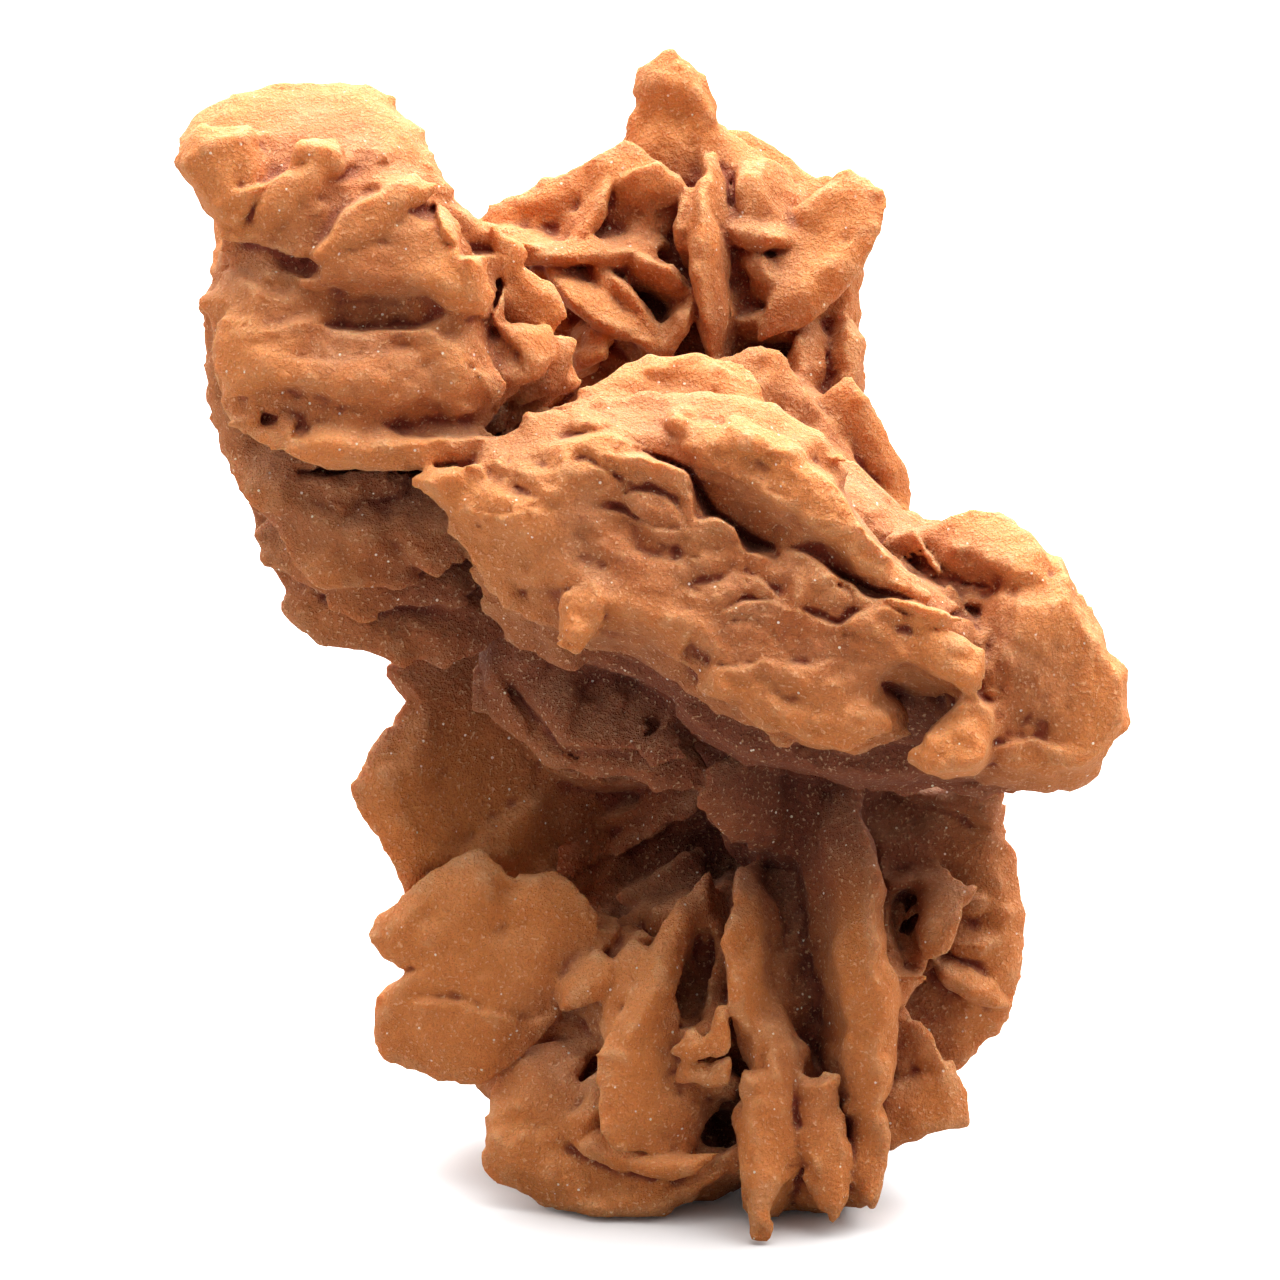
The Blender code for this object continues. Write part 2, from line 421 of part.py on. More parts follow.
def join(crystals):
    """One solid of all the crystals, which cross each other."""
    solid = crystals[0]
    others = bpy.data.collections.new("grown_together")
    for crystal in crystals[1:]:
        others.objects.link(crystal)
    union = solid.modifiers.new("grown_together", "BOOLEAN")
    union.operation = "UNION"
    union.solver = "EXACT"
    union.operand_type = "COLLECTION"
    union.collection = others
    keep_evaluated(solid)
    for crystal in crystals[1:]:
        bpy.data.objects.remove(crystal)
    bpy.data.collections.remove(others)
    return solid


def wear_feet(solid):
    """Takes off all that is below the surface the cluster rests on, which leaves flats on its lowest tips."""
    bpy.ops.mesh.primitive_cube_add(size=0.2, location=(0.0, 0.0, -0.1))
    below = bpy.context.object
    cut = solid.modifiers.new("worn_flat", "BOOLEAN")
    cut.operation = "DIFFERENCE"
    cut.solver = "EXACT"
    cut.object = below
    keep_evaluated(solid)
    bpy.data.objects.remove(below)


def islands_of(mesh):
    """The separate closed surfaces of a mesh, each as a list of faces."""
    waiting = set(mesh.faces)
    islands = []
    while waiting:
        front = [waiting.pop()]
        island = list(front)
        while front:
            face = front.pop()
            for edge in face.edges:
                for near in edge.link_faces:
                    if near in waiting:
                        waiting.remove(near)
                        front.append(near)
                        island.append(near)
        islands.append(island)
    return islands


def volume_inside(island):
    total = 0.0
    for face in island:
        corners = [vertex.co for vertex in face.verts]
        for second, third in zip(corners[1:-1], corners[2:]):
            total += corners[0].dot(second.cross(third)) / 6
    return total


def close_hollows(solid):
    """Keeps the outer surface alone, so that no space sealed in between crystals stays inside it."""
    mesh = bmesh.new()
    mesh.from_mesh(solid.data)
    bmesh.ops.triangulate(mesh, faces=mesh.faces[:])
    islands = sorted(islands_of(mesh), key=volume_inside)
    inner = [face for island in islands[:-1] for face in island]
    bmesh.ops.delete(mesh, geom=inner, context="FACES")
    mesh.to_mesh(solid.data)
    mesh.free()


def gypsum():
    """Gypsum reddened by the sand that it grew in."""
    material = bpy.data.materials.new("sandy_gypsum")
    material.use_nodes = True
    surface = material.node_tree.nodes["Principled BSDF"]
    surface.inputs["Base Color"].default_value = COLOUR
    surface.inputs["Roughness"].default_value = ROUGHNESS
    surface.inputs["Metallic"].default_value = 0.0
    return material


def main():
    for old in list(bpy.data.objects):
        bpy.data.objects.remove(old)
    cluster = join(grow_crystals())
    wear_feet(cluster)
    close_hollows(cluster)
    cluster.name = "gypsum_crystal_cluster"
    cluster.data.name = "gypsum_crystal_cluster"
    cluster.data.materials.clear()
    cluster.data.materials.append(gypsum())


main()
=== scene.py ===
"""The looks of the gypsum crystal cluster: its weathered surface, its sandy stone and the studio round it.

The CAD solid gives the form. Here it becomes a distance field on a fine grid, where its edges wear round,
its rims go wavy, gaps open, small crystals are added, and the ledges, creases and striations of the broad
face are worked in. The field is then read back as one mesh. Sizes are in millimetres on the
cluster's broad face, u to the right, v up the face and w out of it, as in the CAD source, and become metres
in the meshes.
"""

import math

import bpy
import numpy as np
import openvdb as vdb
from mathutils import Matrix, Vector

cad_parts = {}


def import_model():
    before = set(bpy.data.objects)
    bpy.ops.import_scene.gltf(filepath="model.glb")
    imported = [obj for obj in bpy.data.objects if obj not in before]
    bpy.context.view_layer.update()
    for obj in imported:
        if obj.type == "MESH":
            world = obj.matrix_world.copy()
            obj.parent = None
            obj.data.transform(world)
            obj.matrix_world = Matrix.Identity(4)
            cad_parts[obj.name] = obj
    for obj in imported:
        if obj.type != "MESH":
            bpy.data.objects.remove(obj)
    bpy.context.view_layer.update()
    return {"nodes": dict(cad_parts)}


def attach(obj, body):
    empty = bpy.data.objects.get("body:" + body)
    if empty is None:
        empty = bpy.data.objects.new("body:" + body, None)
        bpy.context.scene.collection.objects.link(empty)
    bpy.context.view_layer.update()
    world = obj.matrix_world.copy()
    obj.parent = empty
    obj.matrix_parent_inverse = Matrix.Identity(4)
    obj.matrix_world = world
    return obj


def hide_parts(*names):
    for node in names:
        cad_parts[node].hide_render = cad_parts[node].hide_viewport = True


MM = 0.001
LEAN = math.radians(20.0)
FACE_ORIGIN = np.array([0.05, -21.944, 1.8])
NODE = "gypsum_crystal_cluster"

# The solid's corners that round to the same place at this many steps to a metre become one.
MERGE_STEPS = 1e7

# The distance field: its cell, its band in cells each side of the surface, and the reach that is kept.
VOXEL = 0.15
BAND = 14
REACH = 1.3

# The front of a column without stone, how many spreads a blur reaches, and the strength of smooth noise.
NO_STONE = -99.0
BLUR_REACH = 2.5
NOISE_GAIN = 1.5

# How far edges wear, how much grows back on them, and what share of the sharp form is kept.
WEAR_SIGMA = 0.17
REGROWTH = 0.12
KEPT_DETAIL = 0.25

# How freely flat parts of the mesh are thinned, and the triangles that it keeps in the end.
ADAPTIVITY = 0.15
TRIANGLES = 190000

# The most that the face relief raises and cuts, and how far behind the front it fades away.
RELIEF_RISE = 0.9
RELIEF_CUT = 1.2
RELIEF_FADE = (0.5, 1.6)

# The stone's warp and lumps and the wander of the face's lines, as wavelength, amount and seed.
WAVE = ((4.6, 0.36, 11), (1.6, 0.15, 12), (0.7, 0.10, 13))
LUMPS = ((3.1, 0.10, 21), (0.55, 0.035, 23))
STROKE_WAVER = ((1.9, 0.22, 31), (0.8, 0.08, 32))

# Flakes of crust, as wavelength, wavelength of the finer part as a share of it, thickness and seed.
CRUST = ((1.9, 0.55, 0.07, 61), (0.9, 0.45, 0.06, 64))
FINE_FLAKES = 0.6
FLAKE_EDGE = 0.22

# Marks on the broad face: kind, half width, height in mm, then the line that each follows.
# A ledge stands up on the left of its line and falls away sharply on the right. A crease deepens towards its
# line from the left and ends there at a sharp step up. A height below 0 swaps the two sides.
MARKS = {
    "stack_upper_fold": ("crease", 1.5, 0.50, (-20.9, 52.0), (-19.4, 52.5), (-18.0, 53.4), (-16.9, 54.2)),
    "stack_lens": (
        "crease", 1.3, 0.95, (-17.5, 48.4), (-16.7, 49.8), (-15.2, 51.0), (-14.1, 51.6), (-13.1, 52.0),
    ),
    "stack_side_hollow": ("groove", 1.8, 0.75, (-19.4, 50.0), (-19.4, 48.6), (-20.0, 47.2)),
    "stack_side_lip": ("crease", 1.0, 0.40, (-18.7, 49.0), (-18.3, 48.2), (-17.4, 47.9), (-16.4, 48.0)),
    "stack_slot": (
        "crease", 1.5, 0.85, (-16.2, 45.1), (-14.9, 45.2), (-13.2, 45.2), (-11.8, 45.6), (-10.0, 46.1),
    ),
    "stack_low": (
        "crease", 2.0, 1.00, (-13.5, 40.9), (-12.4, 40.1), (-11.0, 39.7), (-9.0, 39.6), (-7.2, 40.0),
        (-6.5, 40.5),
    ),
    "stack_pit_left": ("groove", 0.35, 0.45, (-19.4, 41.0), (-18.7, 40.9), (-18.2, 40.8)),
    "stack_pit_right": ("groove", 0.4, 0.50, (-17.7, 40.4), (-16.8, 40.2)),
    "stack_pocket": ("crease", 1.3, 0.90, (-9.9, 48.6), (-8.7, 48.9), (-7.5, 49.0)),
    "stack_pocket_side": ("crease", 1.2, -0.60, (-10.6, 51.5), (-10.5, 50.0), (-9.9, 48.9)),
    "stack_right_edge": (
        "crease", 1.5, -0.55, (-7.5, 48.6), (-7.3, 47.5), (-7.6, 46.2), (-7.3, 45.2), (-6.5, 44.1),
        (-6.3, 43.0),
    ),
    "stack_step_upper": ("crease", 1.6, 0.16, (-20.9, 44.1), (-17.5, 43.6), (-14.0, 44.0), (-10.0, 44.4)),
    "stack_step_lower": ("crease", 1.4, 0.12, (-20.7, 42.1), (-17.5, 42.0), (-14.5, 41.8)),
    "bar_brow": (
        "crease", 2.0, 0.50, (-5.9, 39.5), (-4.2, 39.6), (-2.5, 40.0), (-0.5, 39.5), (0.7, 39.1),
        (2.0, 38.0),
    ),
    "bar_crevice_upper": (
        "crease", 1.0, 1.15, (-1.7, 39.1), (0.0, 38.9), (1.5, 38.0), (2.2, 37.0), (2.5, 35.9),
        (4.0, 35.2), (4.6, 34.2), (6.3, 34.1),
    ),
    "bar_crevice_shade": ("groove", 1.4, 0.55, (2.0, 38.4), (3.5, 36.8), (5.5, 35.2), (7.5, 34.5)),
    "bar_step_two": ("crease", 0.8, 0.55, (-1.9, 36.8), (-0.5, 37.0), (0.9, 36.8), (1.9, 36.0)),
    "bar_step_three": (
        "crease", 0.7, 0.45, (-2.8, 36.1), (-1.6, 36.0), (-0.5, 35.6), (0.7, 35.1), (1.7, 35.2),
    ),
    "bar_step_four": ("crease", 0.7, 0.40, (-4.5, 38.2), (-3.5, 38.6), (-2.3, 38.4), (-1.4, 37.5)),
    "bar_step_five": ("crease", 0.7, 0.50, (4.6, 34.0), (4.4, 33.0), (5.1, 32.8), (6.1, 32.1), (6.5, 31.6)),
    "bar_step_six": ("crease", 0.6, 0.35, (-1.5, 34.4), (-0.5, 34.1), (0.5, 33.8), (2.0, 33.5)),
    "bar_step_seven": ("crease", 0.6, 0.30, (2.0, 32.8), (3.2, 32.5), (4.0, 32.9), (4.9, 32.2)),
    "bar_step_eight": ("crease", 0.7, 0.45, (3.3, 31.1), (4.4, 31.6), (5.9, 31.6), (7.5, 31.2)),
    "bar_step_nine": ("crease", 0.6, 0.25, (-2.5, 35.2), (-1.5, 35.0), (-0.9, 34.2), (0.0, 33.2)),
    "bar_ridge_high": (
        "crease", 1.5, 1.10, (7.5, 38.9), (9.3, 37.5), (10.1, 35.8), (11.5, 34.4), (13.1, 33.1),
        (14.7, 32.2), (15.6, 31.6),
    ),
    "bar_ridge_low": (
        "crease", 1.0, 1.05, (6.4, 34.1), (7.8, 33.8), (9.2, 32.9), (11.0, 32.1), (12.9, 31.6),
        (15.0, 31.1), (16.7, 30.4),
    ),
    "bar_slot": ("crease", 0.7, 0.70, (7.3, 31.6), (8.5, 30.9), (9.8, 30.6), (11.1, 31.1)),
    "bar_end_slot": ("groove", 0.32, 0.90, (15.1, 31.1), (15.8, 31.1), (16.5, 31.1)),
    "bar_under_hump": (
        "groove", 0.9, 1.30, (11.8, 34.1), (13.2, 33.5), (14.8, 33.0), (16.5, 32.8), (17.7, 32.2),
    ),
    "bar_hump_crust": (
        "crease", 0.5, 0.45, (14.5, 32.5), (15.7, 32.5), (16.5, 31.9), (17.5, 32.1), (18.2, 31.9),
    ),
    "bar_hollow": ("groove", 1.1, 1.00, (11.5, 27.9), (12.7, 27.2), (13.7, 26.4), (13.4, 24.9)),
    "bar_hollow_edge": ("crease", 1.2, -0.45, (15.7, 26.8), (14.4, 25.9), (13.7, 24.9), (13.6, 23.9)),
    "bar_block_foot": ("crease", 1.0, -0.30, (11.7, 28.8), (13.0, 28.6), (14.5, 27.6), (16.1, 26.8)),
    "bar_lobe_edge": (
        "ledge", 1.2, -0.50, (17.3, 24.9), (16.5, 23.4), (15.5, 22.8), (14.1, 22.9), (12.9, 23.6),
    ),
    "bar_end_joint": (
        "ledge", 1.2, -0.40, (16.7, 30.4), (16.7, 28.8), (16.3, 27.2), (16.7, 26.8), (17.5, 26.6),
    ),
    "bar_end_facet": ("ridge", 1.4, 0.35, (20.0, 31.4), (19.9, 27.8), (19.5, 25.2)),
    "bar_end_crack": ("crease", 0.8, 0.45, (16.9, 24.4), (17.7, 24.6), (19.5, 24.6), (21.0, 24.4)),
    "bar_end_plates": ("crease", 0.6, 0.25, (22.3, 29.8), (22.1, 27.2), (21.9, 24.8)),
    "bar_low_edge": (
        "ledge", 1.8, 0.40, (-1.5, 29.4), (0.0, 28.4), (2.0, 27.1), (4.5, 26.8), (6.5, 25.6), (7.8, 24.6),
        (10.0, 24.2), (12.0, 24.9),
    ),
    "bar_low_band": ("crease", 1.2, 0.30, (2.5, 28.6), (5.0, 28.6), (7.5, 28.8), (10.0, 28.4)),
    "bar_pit": ("groove", 0.55, 0.60, (1.5, 29.6), (2.3, 29.2), (3.1, 28.9)),
    "bar_tip_line": ("crease", 0.9, 0.25, (-10.5, 36.5), (-9.0, 36.4), (-7.5, 36.1), (-5.5, 36.2)),
    "bar_tip_upper": ("crease", 1.0, 0.20, (-7.5, 38.2), (-6.5, 38.6), (-5.2, 38.0), (-4.5, 38.2)),
    "shelf_line": ("groove", 0.5, 0.30, (-18.6, 36.6), (-15.4, 36.0), (-12.0, 36.2)),
    "petal_rim_step": (
        "ledge", 0.8, 0.40, (1.2, 22.8), (-1.4, 23.6), (-4.0, 23.9), (-5.6, 25.0), (-7.0, 27.0),
        (-7.8, 28.8),
    ),
    "petal_hollow": ("groove", 2.6, 0.60, (-4.0, 27.0), (-1.2, 26.4), (0.8, 25.2)),
    "wing_hollow": ("groove", 3.4, 0.6, (-10.2, 24.8), (-8.0, 22.8), (-6.4, 20.8)),
    "cavity": ("groove", 2.6, 1.1, (-5.6, 21.6), (-2.6, 20.6), (0.4, 20.8)),
    "leaf_notch_upper": ("groove", 0.6, 0.35, (-6.4, 17.8), (-7.4, 16.2), (-8.0, 14.4)),
    "leaf_step": ("ledge", 1.2, 0.30, (-3.8, 11.6), (-6.6, 10.8), (-9.0, 11.2), (-12.4, 11.8)),
    "lens_spine": ("ridge", 0.5, 0.30, (3.2, 18.4), (1.2, 15.2), (-0.2, 12.2), (-1.2, 9.0)),
    "broad_blade_rim": (
        "ridge", 0.7, 0.30, (10.8, 20.8), (11.8, 17.4), (12.0, 13.0), (11.8, 8.6), (10.8, 5.4),
    ),
    "broad_blade_hollow": ("groove", 1.5, 0.40, (9.0, 18.2), (8.8, 14.0), (9.0, 9.6)),
    "right_gap": ("groove", 1.1, 0.9, (12.6, 17.2), (12.8, 15.0), (12.8, 13.0)),
}

# Where along its line a mark fades in and out, as shares of the line.
FADE_IN = (-0.02, 0.18)
FADE_OUT = (1.02, 0.82)

# A ledge's brink, how far its top runs back in half widths, and the groove along its foot.
LEDGE_BRINK = (-0.12, 0.18)
LEDGE_RUN = 1.6
FOOT_OFFSET = 0.35
FOOT_WIDTH = 0.3
FOOT_SHARE = 0.5

# A crease's step, and how high the lip past it stands as a share of its depth.
CREASE_STEP = (-0.12, 0.14)
LIP_SHARE = 0.35

# How square a groove's or ridge's section is.
SECTION_POWER = 2.4

# Bands of fine striation on the face: middle, radii, tilt of the patch in degrees, then the striations'
# direction, and for each of their sizes the length along, the width across and the height.
STRIATIONS = {
    "stack": ((-14.0, 46.0), (10.0, 12.0), 0.0, 2.0, ((7.0, 1.1, 0.10), (2.6, 0.5, 0.05))),
    "shelves": ((-13.5, 35.0), (9.0, 5.0), -15.0, -12.0, ((5.0, 0.9, 0.08), (2.0, 0.45, 0.05))),
    "bar": ((3.5, 32.2), (17.0, 8.5), -29.0, -24.0, ((5.5, 1.3, 0.13), (1.6, 0.8, 0.09), (1.4, 0.4, 0.04))),
    "bar_upper": ((6.0, 34.8), (10.0, 4.5), -35.0, -30.0, ((3.6, 1.2, 0.22), (1.3, 0.8, 0.12))),
    "bar_end": ((20.4, 27.6), (4.6, 8.0), 0.0, 84.0, ((6.0, 0.6, 0.10), (3.0, 0.35, 0.05))),
    "base_blades": ((7.5, 11.8), (8.0, 12.0), 0.0, 88.0, ((5.0, 0.8, 0.08), (3.0, 0.4, 0.04))),
}

# How a band of striation fades at its edge, then its first seed, its treads and the risers between them.
PATCH_EDGE = (1.25, 0.8)
STRIATION_SEED = 400
STRIATION_STEPS = 1.5
RISER = (0.62, 0.95)

# Small crystals that grow from the rosette: thickness, then w in the middle with its rise to the right and
# up the face, then the outline.
ADDED_CRYSTALS = {
    "tip_long": (
        1.2, (-4.9, 0.0, -0.05),
        ((4.7, 8.8), (4.9, 5.8), (5.1, 3.2), (5.3, 1.2), (5.7, -0.1), (6.2, 1.4), (6.6, 3.2), (6.8, 5.8),
        (6.7, 8.8)),
    ),
    "tip_right": (
        1.3, (-5.3, 0.1, 0.0),
        ((7.3, 7.8), (7.5, 4.8), (7.8, 2.8), (8.2, 1.6), (8.9, 1.1), (9.5, 1.6), (9.7, 3.5), (9.4, 5.8),
        (8.8, 7.8)),
    ),
    "tip_far_right": (
        1.1, (-5.9, 0.1, 0.0),
        ((10.0, 6.2), (10.1, 3.8), (10.5, 2.1), (11.0, 1.6), (11.5, 2.5), (11.8, 4.2), (11.7, 6.2)),
    ),
    "spur_upper": (
        0.9, (-5.0, 0.25, 0.0),
        ((3.9, 11.6), (2.8, 10.4), (1.7, 9.2), (1.2, 8.6), (2.0, 8.7), (3.1, 9.2), (4.0, 9.8)),
    ),
    "spur_lower": (
        0.8, (-5.6, 0.25, 0.0),
        ((4.0, 9.3), (2.8, 8.8), (1.7, 8.2), (1.4, 7.8), (2.2, 7.5), (3.3, 7.7), (4.0, 8.0)),
    ),
    "slanting_blade": (
        0.8, (-7.4, 0.75, -0.5),
        ((16.8, 17.6), (15.6, 16.9), (14.0, 15.4), (12.9, 13.9), (12.6, 12.6), (12.8, 11.3), (13.5, 12.4),
        (14.6, 14.2), (15.6, 16.1)),
    ),
    "fan_one": (
        0.8, (-7.8, 0.5, -0.3),
        ((-2.3, 14.2), (-3.2, 13.4), (-3.9, 12.6), (-4.7, 11.8), (-4.5, 11.3), (-3.5, 11.4), (-2.5, 11.9),
        (-1.7, 13.2)),
    ),
    "fan_two": (
        0.8, (-7.0, 0.5, -0.3),
        ((-0.5, 14.6), (-1.5, 13.2), (-2.2, 11.6), (-2.5, 9.8), (-2.0, 9.2), (-1.3, 10.2), (-0.5, 12.2),
        (0.2, 13.9)),
    ),
    "foot_rim": (
        1.0, (-7.6, 0.1, -0.25),
        ((-4.5, 1.9), (-3.0, 1.4), (-1.0, 1.2), (1.5, 1.9), (3.5, 2.5), (4.7, 3.8), (4.0, 3.4),
        (2.0, 2.8), (-0.5, 2.2), (-3.0, 2.4)),
    ),
    "foot_upper_rim": (
        0.9, (-6.6, 0.1, -0.3),
        ((-4.2, 4.2), (-3.2, 3.8), (-1.5, 3.5), (0.5, 3.0), (2.5, 3.1), (4.3, 4.2), (2.5, 4.2),
        (0.0, 4.2), (-2.5, 5.2)),
    ),
}

# Deep gaps and crevices, in the same terms.
POCKETS = {
    "hump_crease": (
        7.4, (2.2, 0.0, 0.0),
        ((10.9, 34.5), (12.0, 34.1), (13.2, 33.6), (14.8, 33.2), (16.8, 32.9), (17.6, 32.4), (16.8, 31.9),
        (15.5, 32.1), (14.0, 32.4), (12.8, 32.9), (11.6, 33.5)),
    ),
    "back_crease": (
        5.0, (4.1, 0.7, 0.7),
        ((9.3, 38.2), (10.0, 39.0), (11.1, 38.2), (12.8, 36.5), (14.2, 34.2), (15.8, 31.8), (15.2, 31.6),
        (14.0, 32.2), (12.5, 33.2), (11.0, 34.6), (9.8, 36.0), (9.2, 37.2)),
    ),
    "bar_crevice": (
        5.0, (4.4, 0.0, 0.0),
        ((-0.5, 39.5), (0.9, 39.0), (2.0, 38.4), (2.8, 37.4), (3.4, 36.4), (4.6, 35.6), (6.3, 34.6),
        (6.4, 34.0), (4.9, 34.0), (3.9, 35.0), (2.7, 35.8), (2.2, 36.8), (1.6, 37.8), (0.3, 38.6)),
    ),
    "bar_low_crevice": (
        4.0, (4.4, 0.0, 0.0),
        ((7.4, 34.0), (9.0, 33.5), (10.5, 32.8), (12.1, 32.0), (11.5, 31.8), (10.0, 32.4), (8.5, 33.0)),
    ),
    "bar_hollow": (
        5.0, (3.8, 0.0, 0.0),
        ((11.1, 27.9), (12.5, 27.6), (14.3, 27.1), (15.3, 26.6), (14.2, 26.1), (13.5, 25.2), (13.3, 24.1),
        (12.7, 24.6), (12.6, 25.9), (11.7, 26.9)),
    ),
    "tip_wedge": (
        11.0, (-2.5, 0.0, 0.0),
        ((-10.2, 38.4), (-9.0, 38.6), (-7.5, 39.4), (-7.5, 39.1), (-8.2, 38.2), (-9.0, 38.0),
        (-9.7, 38.1)),
    ),
    "under_ledge": (
        5.5, (-3.2, 0.0, 0.0),
        ((-19.4, 38.2), (-17.5, 38.4), (-14.5, 38.5), (-11.5, 38.4), (-10.0, 38.0), (-11.0, 37.4),
        (-14.0, 37.5), (-17.5, 37.6), (-19.0, 37.9)),
    ),
    "pocket_right": (
        2.2, (-10.0, 0.0, 0.0),
        ((12.5, 17.4), (14.0, 17.2), (15.6, 17.6), (14.5, 16.4), (13.5, 14.9), (12.8, 13.6), (12.4, 12.9),
        (12.3, 15.2)),
    ),
    "pocket_foot_right": (
        3.0, (-6.6, 0.0, 0.0),
        ((12.6, 9.6), (13.7, 8.8), (14.5, 7.5), (15.0, 6.5), (13.8, 7.2), (12.7, 7.8)),
    ),
    "pocket_blades": (
        5.0, (-6.5, 0.0, 0.0),
        ((6.7, 17.6), (7.5, 17.8), (7.7, 15.2), (7.6, 12.2), (7.3, 9.8), (7.0, 11.2), (6.7, 14.2)),
    ),
    "gap_tips_one": (
        5.0, (-6.0, 0.0, 0.0),
        ((6.9, 7.2), (7.2, 6.8), (7.5, 3.8), (7.6, 1.8), (7.3, 0.6), (7.0, 1.8), (6.8, 4.2)),
    ),
    "gap_tips_two": (
        5.0, (-6.0, 0.0, 0.0),
        ((9.8, 5.2), (10.0, 4.2), (10.3, 2.2), (10.3, 0.8), (9.8, 0.8), (9.8, 2.8)),
    ),
    "gap_tips_left": (
        4.0, (-6.6, 0.0, 0.0),
        ((3.4, 6.2), (4.6, 4.2), (5.1, 1.8), (5.3, 0.5), (4.8, 0.3), (4.5, 2.2), (3.9, 4.2)),
    ),
    "pocket_lens": (
        4.0, (-7.4, 0.0, 0.0),
        ((0.7, 11.8), (2.0, 14.2), (3.1, 16.4), (3.4, 14.2), (3.3, 11.8), (2.5, 10.2), (1.1, 9.6)),
    ),
    "pocket_fan": (
        3.0, (-9.0, 0.0, 0.0),
        ((-3.3, 9.4), (-2.5, 9.6), (-2.5, 8.2), (-3.0, 7.2), (-3.9, 6.5), (-4.4, 7.2), (-4.0, 8.6)),
    ),
}

# How fast a crystal or gap narrows away from its middle plane and towards its outline, and the room round it.
CRYSTAL_TAPER = 0.5
POCKET_TAPER = 0.2
OUTLINE_SLOPE = 0.86
WINDOW_MARGIN = 1.5

# How the stone round a place is measured for its colour, for painted shade in creases, hollows and under
# overhangs, for a painted glow on thin rims and for the crust: spread, cells taken together, height above it.
SURROUNDINGS = {
    "near_stone": (0.5, 2, 0.0),
    "wide_stone": (3.0, 4, 0.0),
    "roof": (4.0, 4, 7.0),
}

# The stone's colours, as screen values from 0 to 255. The thin rim, upper side and glint colours are painted
# light; the crease, hollow and sheltered colours are painted shade.
STONE_COLOURS = {
    "body": (214, 136, 76),
    "warm_body": (206, 118, 54),
    "pale_patch": (224, 156, 108),
    "dark_patch": (172, 88, 38),
    "thin_rim_glow": (246, 154, 76),
    "crust": (236, 178, 124),
    "crease": (150, 54, 10),
    "hollow": (92, 34, 10),
    "sheltered_shade": (118, 50, 18),
    "upper_side_light": (242, 182, 140),
    "pale_grain": (246, 200, 154),
    "dark_grain": (126, 58, 24),
    "painted_glint": (255, 238, 216),
}
# Painted shade: faces turned down are multiplied darker by this tint.
UNDERSIDE_SHADE = (0.74, 0.64, 0.54, 1.0)

# The stone's patterns, in features to the metre, then the depth of its grit and of the light, in metres.
BODY_PATCHES = 130.0
PALE_PATCHES = 420.0
DARK_PATCHES = 900.0
CRUST_PATCHES = 700.0
SAND_GRAINS = 5200.0
GRIT = 2200.0
GRIT_DEPTH = 0.00028
SCATTER_DEPTH = 0.0011
SCATTER_BY_COLOUR = (1.0, 0.42, 0.16)
SCATTER_SHARE = 0.35

# The studio's brightness: an even share all round, then lobes by direction, sharpness and strength.
WORLD_EVEN = 0.08
WORLD_LOBES = (
    ((0.0, 0.0, 1.0), 24.0, 5.2),
    ((0.6, 0.0, 1.0), 12.0, 4.4),
    ((0.0, 0.5, 1.0), 12.0, 3.0),
    ((0.0, 1.0, 1.0), 6.0, 5.0),
    ((0.0, 1.0, 0.25), 3.0, 3.0),
    ((1.0, 0.0, 0.25), 3.0, 1.3),
    ((-1.0, 0.0, 0.25), 3.0, 1.1),
    ((-1.0, -1.0, 0.4), 6.0, 0.5),
)

# The floor in metres, and its brightness as the stone and as the camera see it.
FLOOR_RADIUS = 3.0
FLOOR_DROP = 0.0002
FLOOR_SIDES = 96
FLOOR_BOUNCE = 0.40
FLOOR_SEEN = 0.95

# The camera looks straight at the broad face from far away.
VIEW_CENTRE = (-0.5, 29.75, -4.0)
VIEW_WIDTH = 64.0
VIEW_DISTANCE = 2500.0
SENSOR_WIDTH = 36.0
CLIP_START = 0.1
CLIP_END = 20.0


def face_axes():
    """The face's u, v and w as rows, in the part's own axes."""
    return np.array(
        [
            [1.0, 0.0, 0.0],
            [0.0, math.sin(LEAN), math.cos(LEAN)],
            [0.0, -math.cos(LEAN), math.sin(LEAN)],
        ]
    )


def to_part(points):
    return (points @ face_axes() + FACE_ORIGIN) * MM


def to_face(points):
    return (points / MM - FACE_ORIGIN) @ face_axes().T


def read_solid(node):
    """The solid's corners on the face, in millimetres, and its triangles."""
    mesh = node.data
    mesh.calc_loop_triangles()
    corners = np.empty(len(mesh.vertices) * 3, np.float32)
    mesh.vertices.foreach_get("co", corners)
    triangles = np.empty(len(mesh.loop_triangles) * 3, np.int32)
    mesh.loop_triangles.foreach_get("vertices", triangles)
    corners = corners.reshape(-1, 3).astype(np.float64)
    rounded = np.round(corners * MERGE_STEPS).astype(np.int64)
    _, first, index = np.unique(rounded, axis=0, return_index=True, return_inverse=True)
    triangles = index.reshape(-1)[triangles.reshape(-1, 3)]
    return to_face(corners[first]), triangles


def distance_field(points, triangles):
    """Signed distance to the solid on a dense grid, and the face coordinates of its first cell."""
    transform = vdb.createLinearTransform(VOXEL)
    grid = vdb.FloatGrid.createLevelSetFromPolygons(
        points.astype(np.float32), triangles=triangles.astype(np.uint32), transform=transform, halfWidth=BAND
    )
    low, high = grid.evalActiveVoxelBoundingBox()
    shape = [b - a + 5 for a, b in zip(low, high)]
    field = np.empty(shape, np.float32)
    first = tuple(a - 2 for a in low)
    grid.copyToArray(field, ijk=first)
    return field, np.array(first) * VOXEL


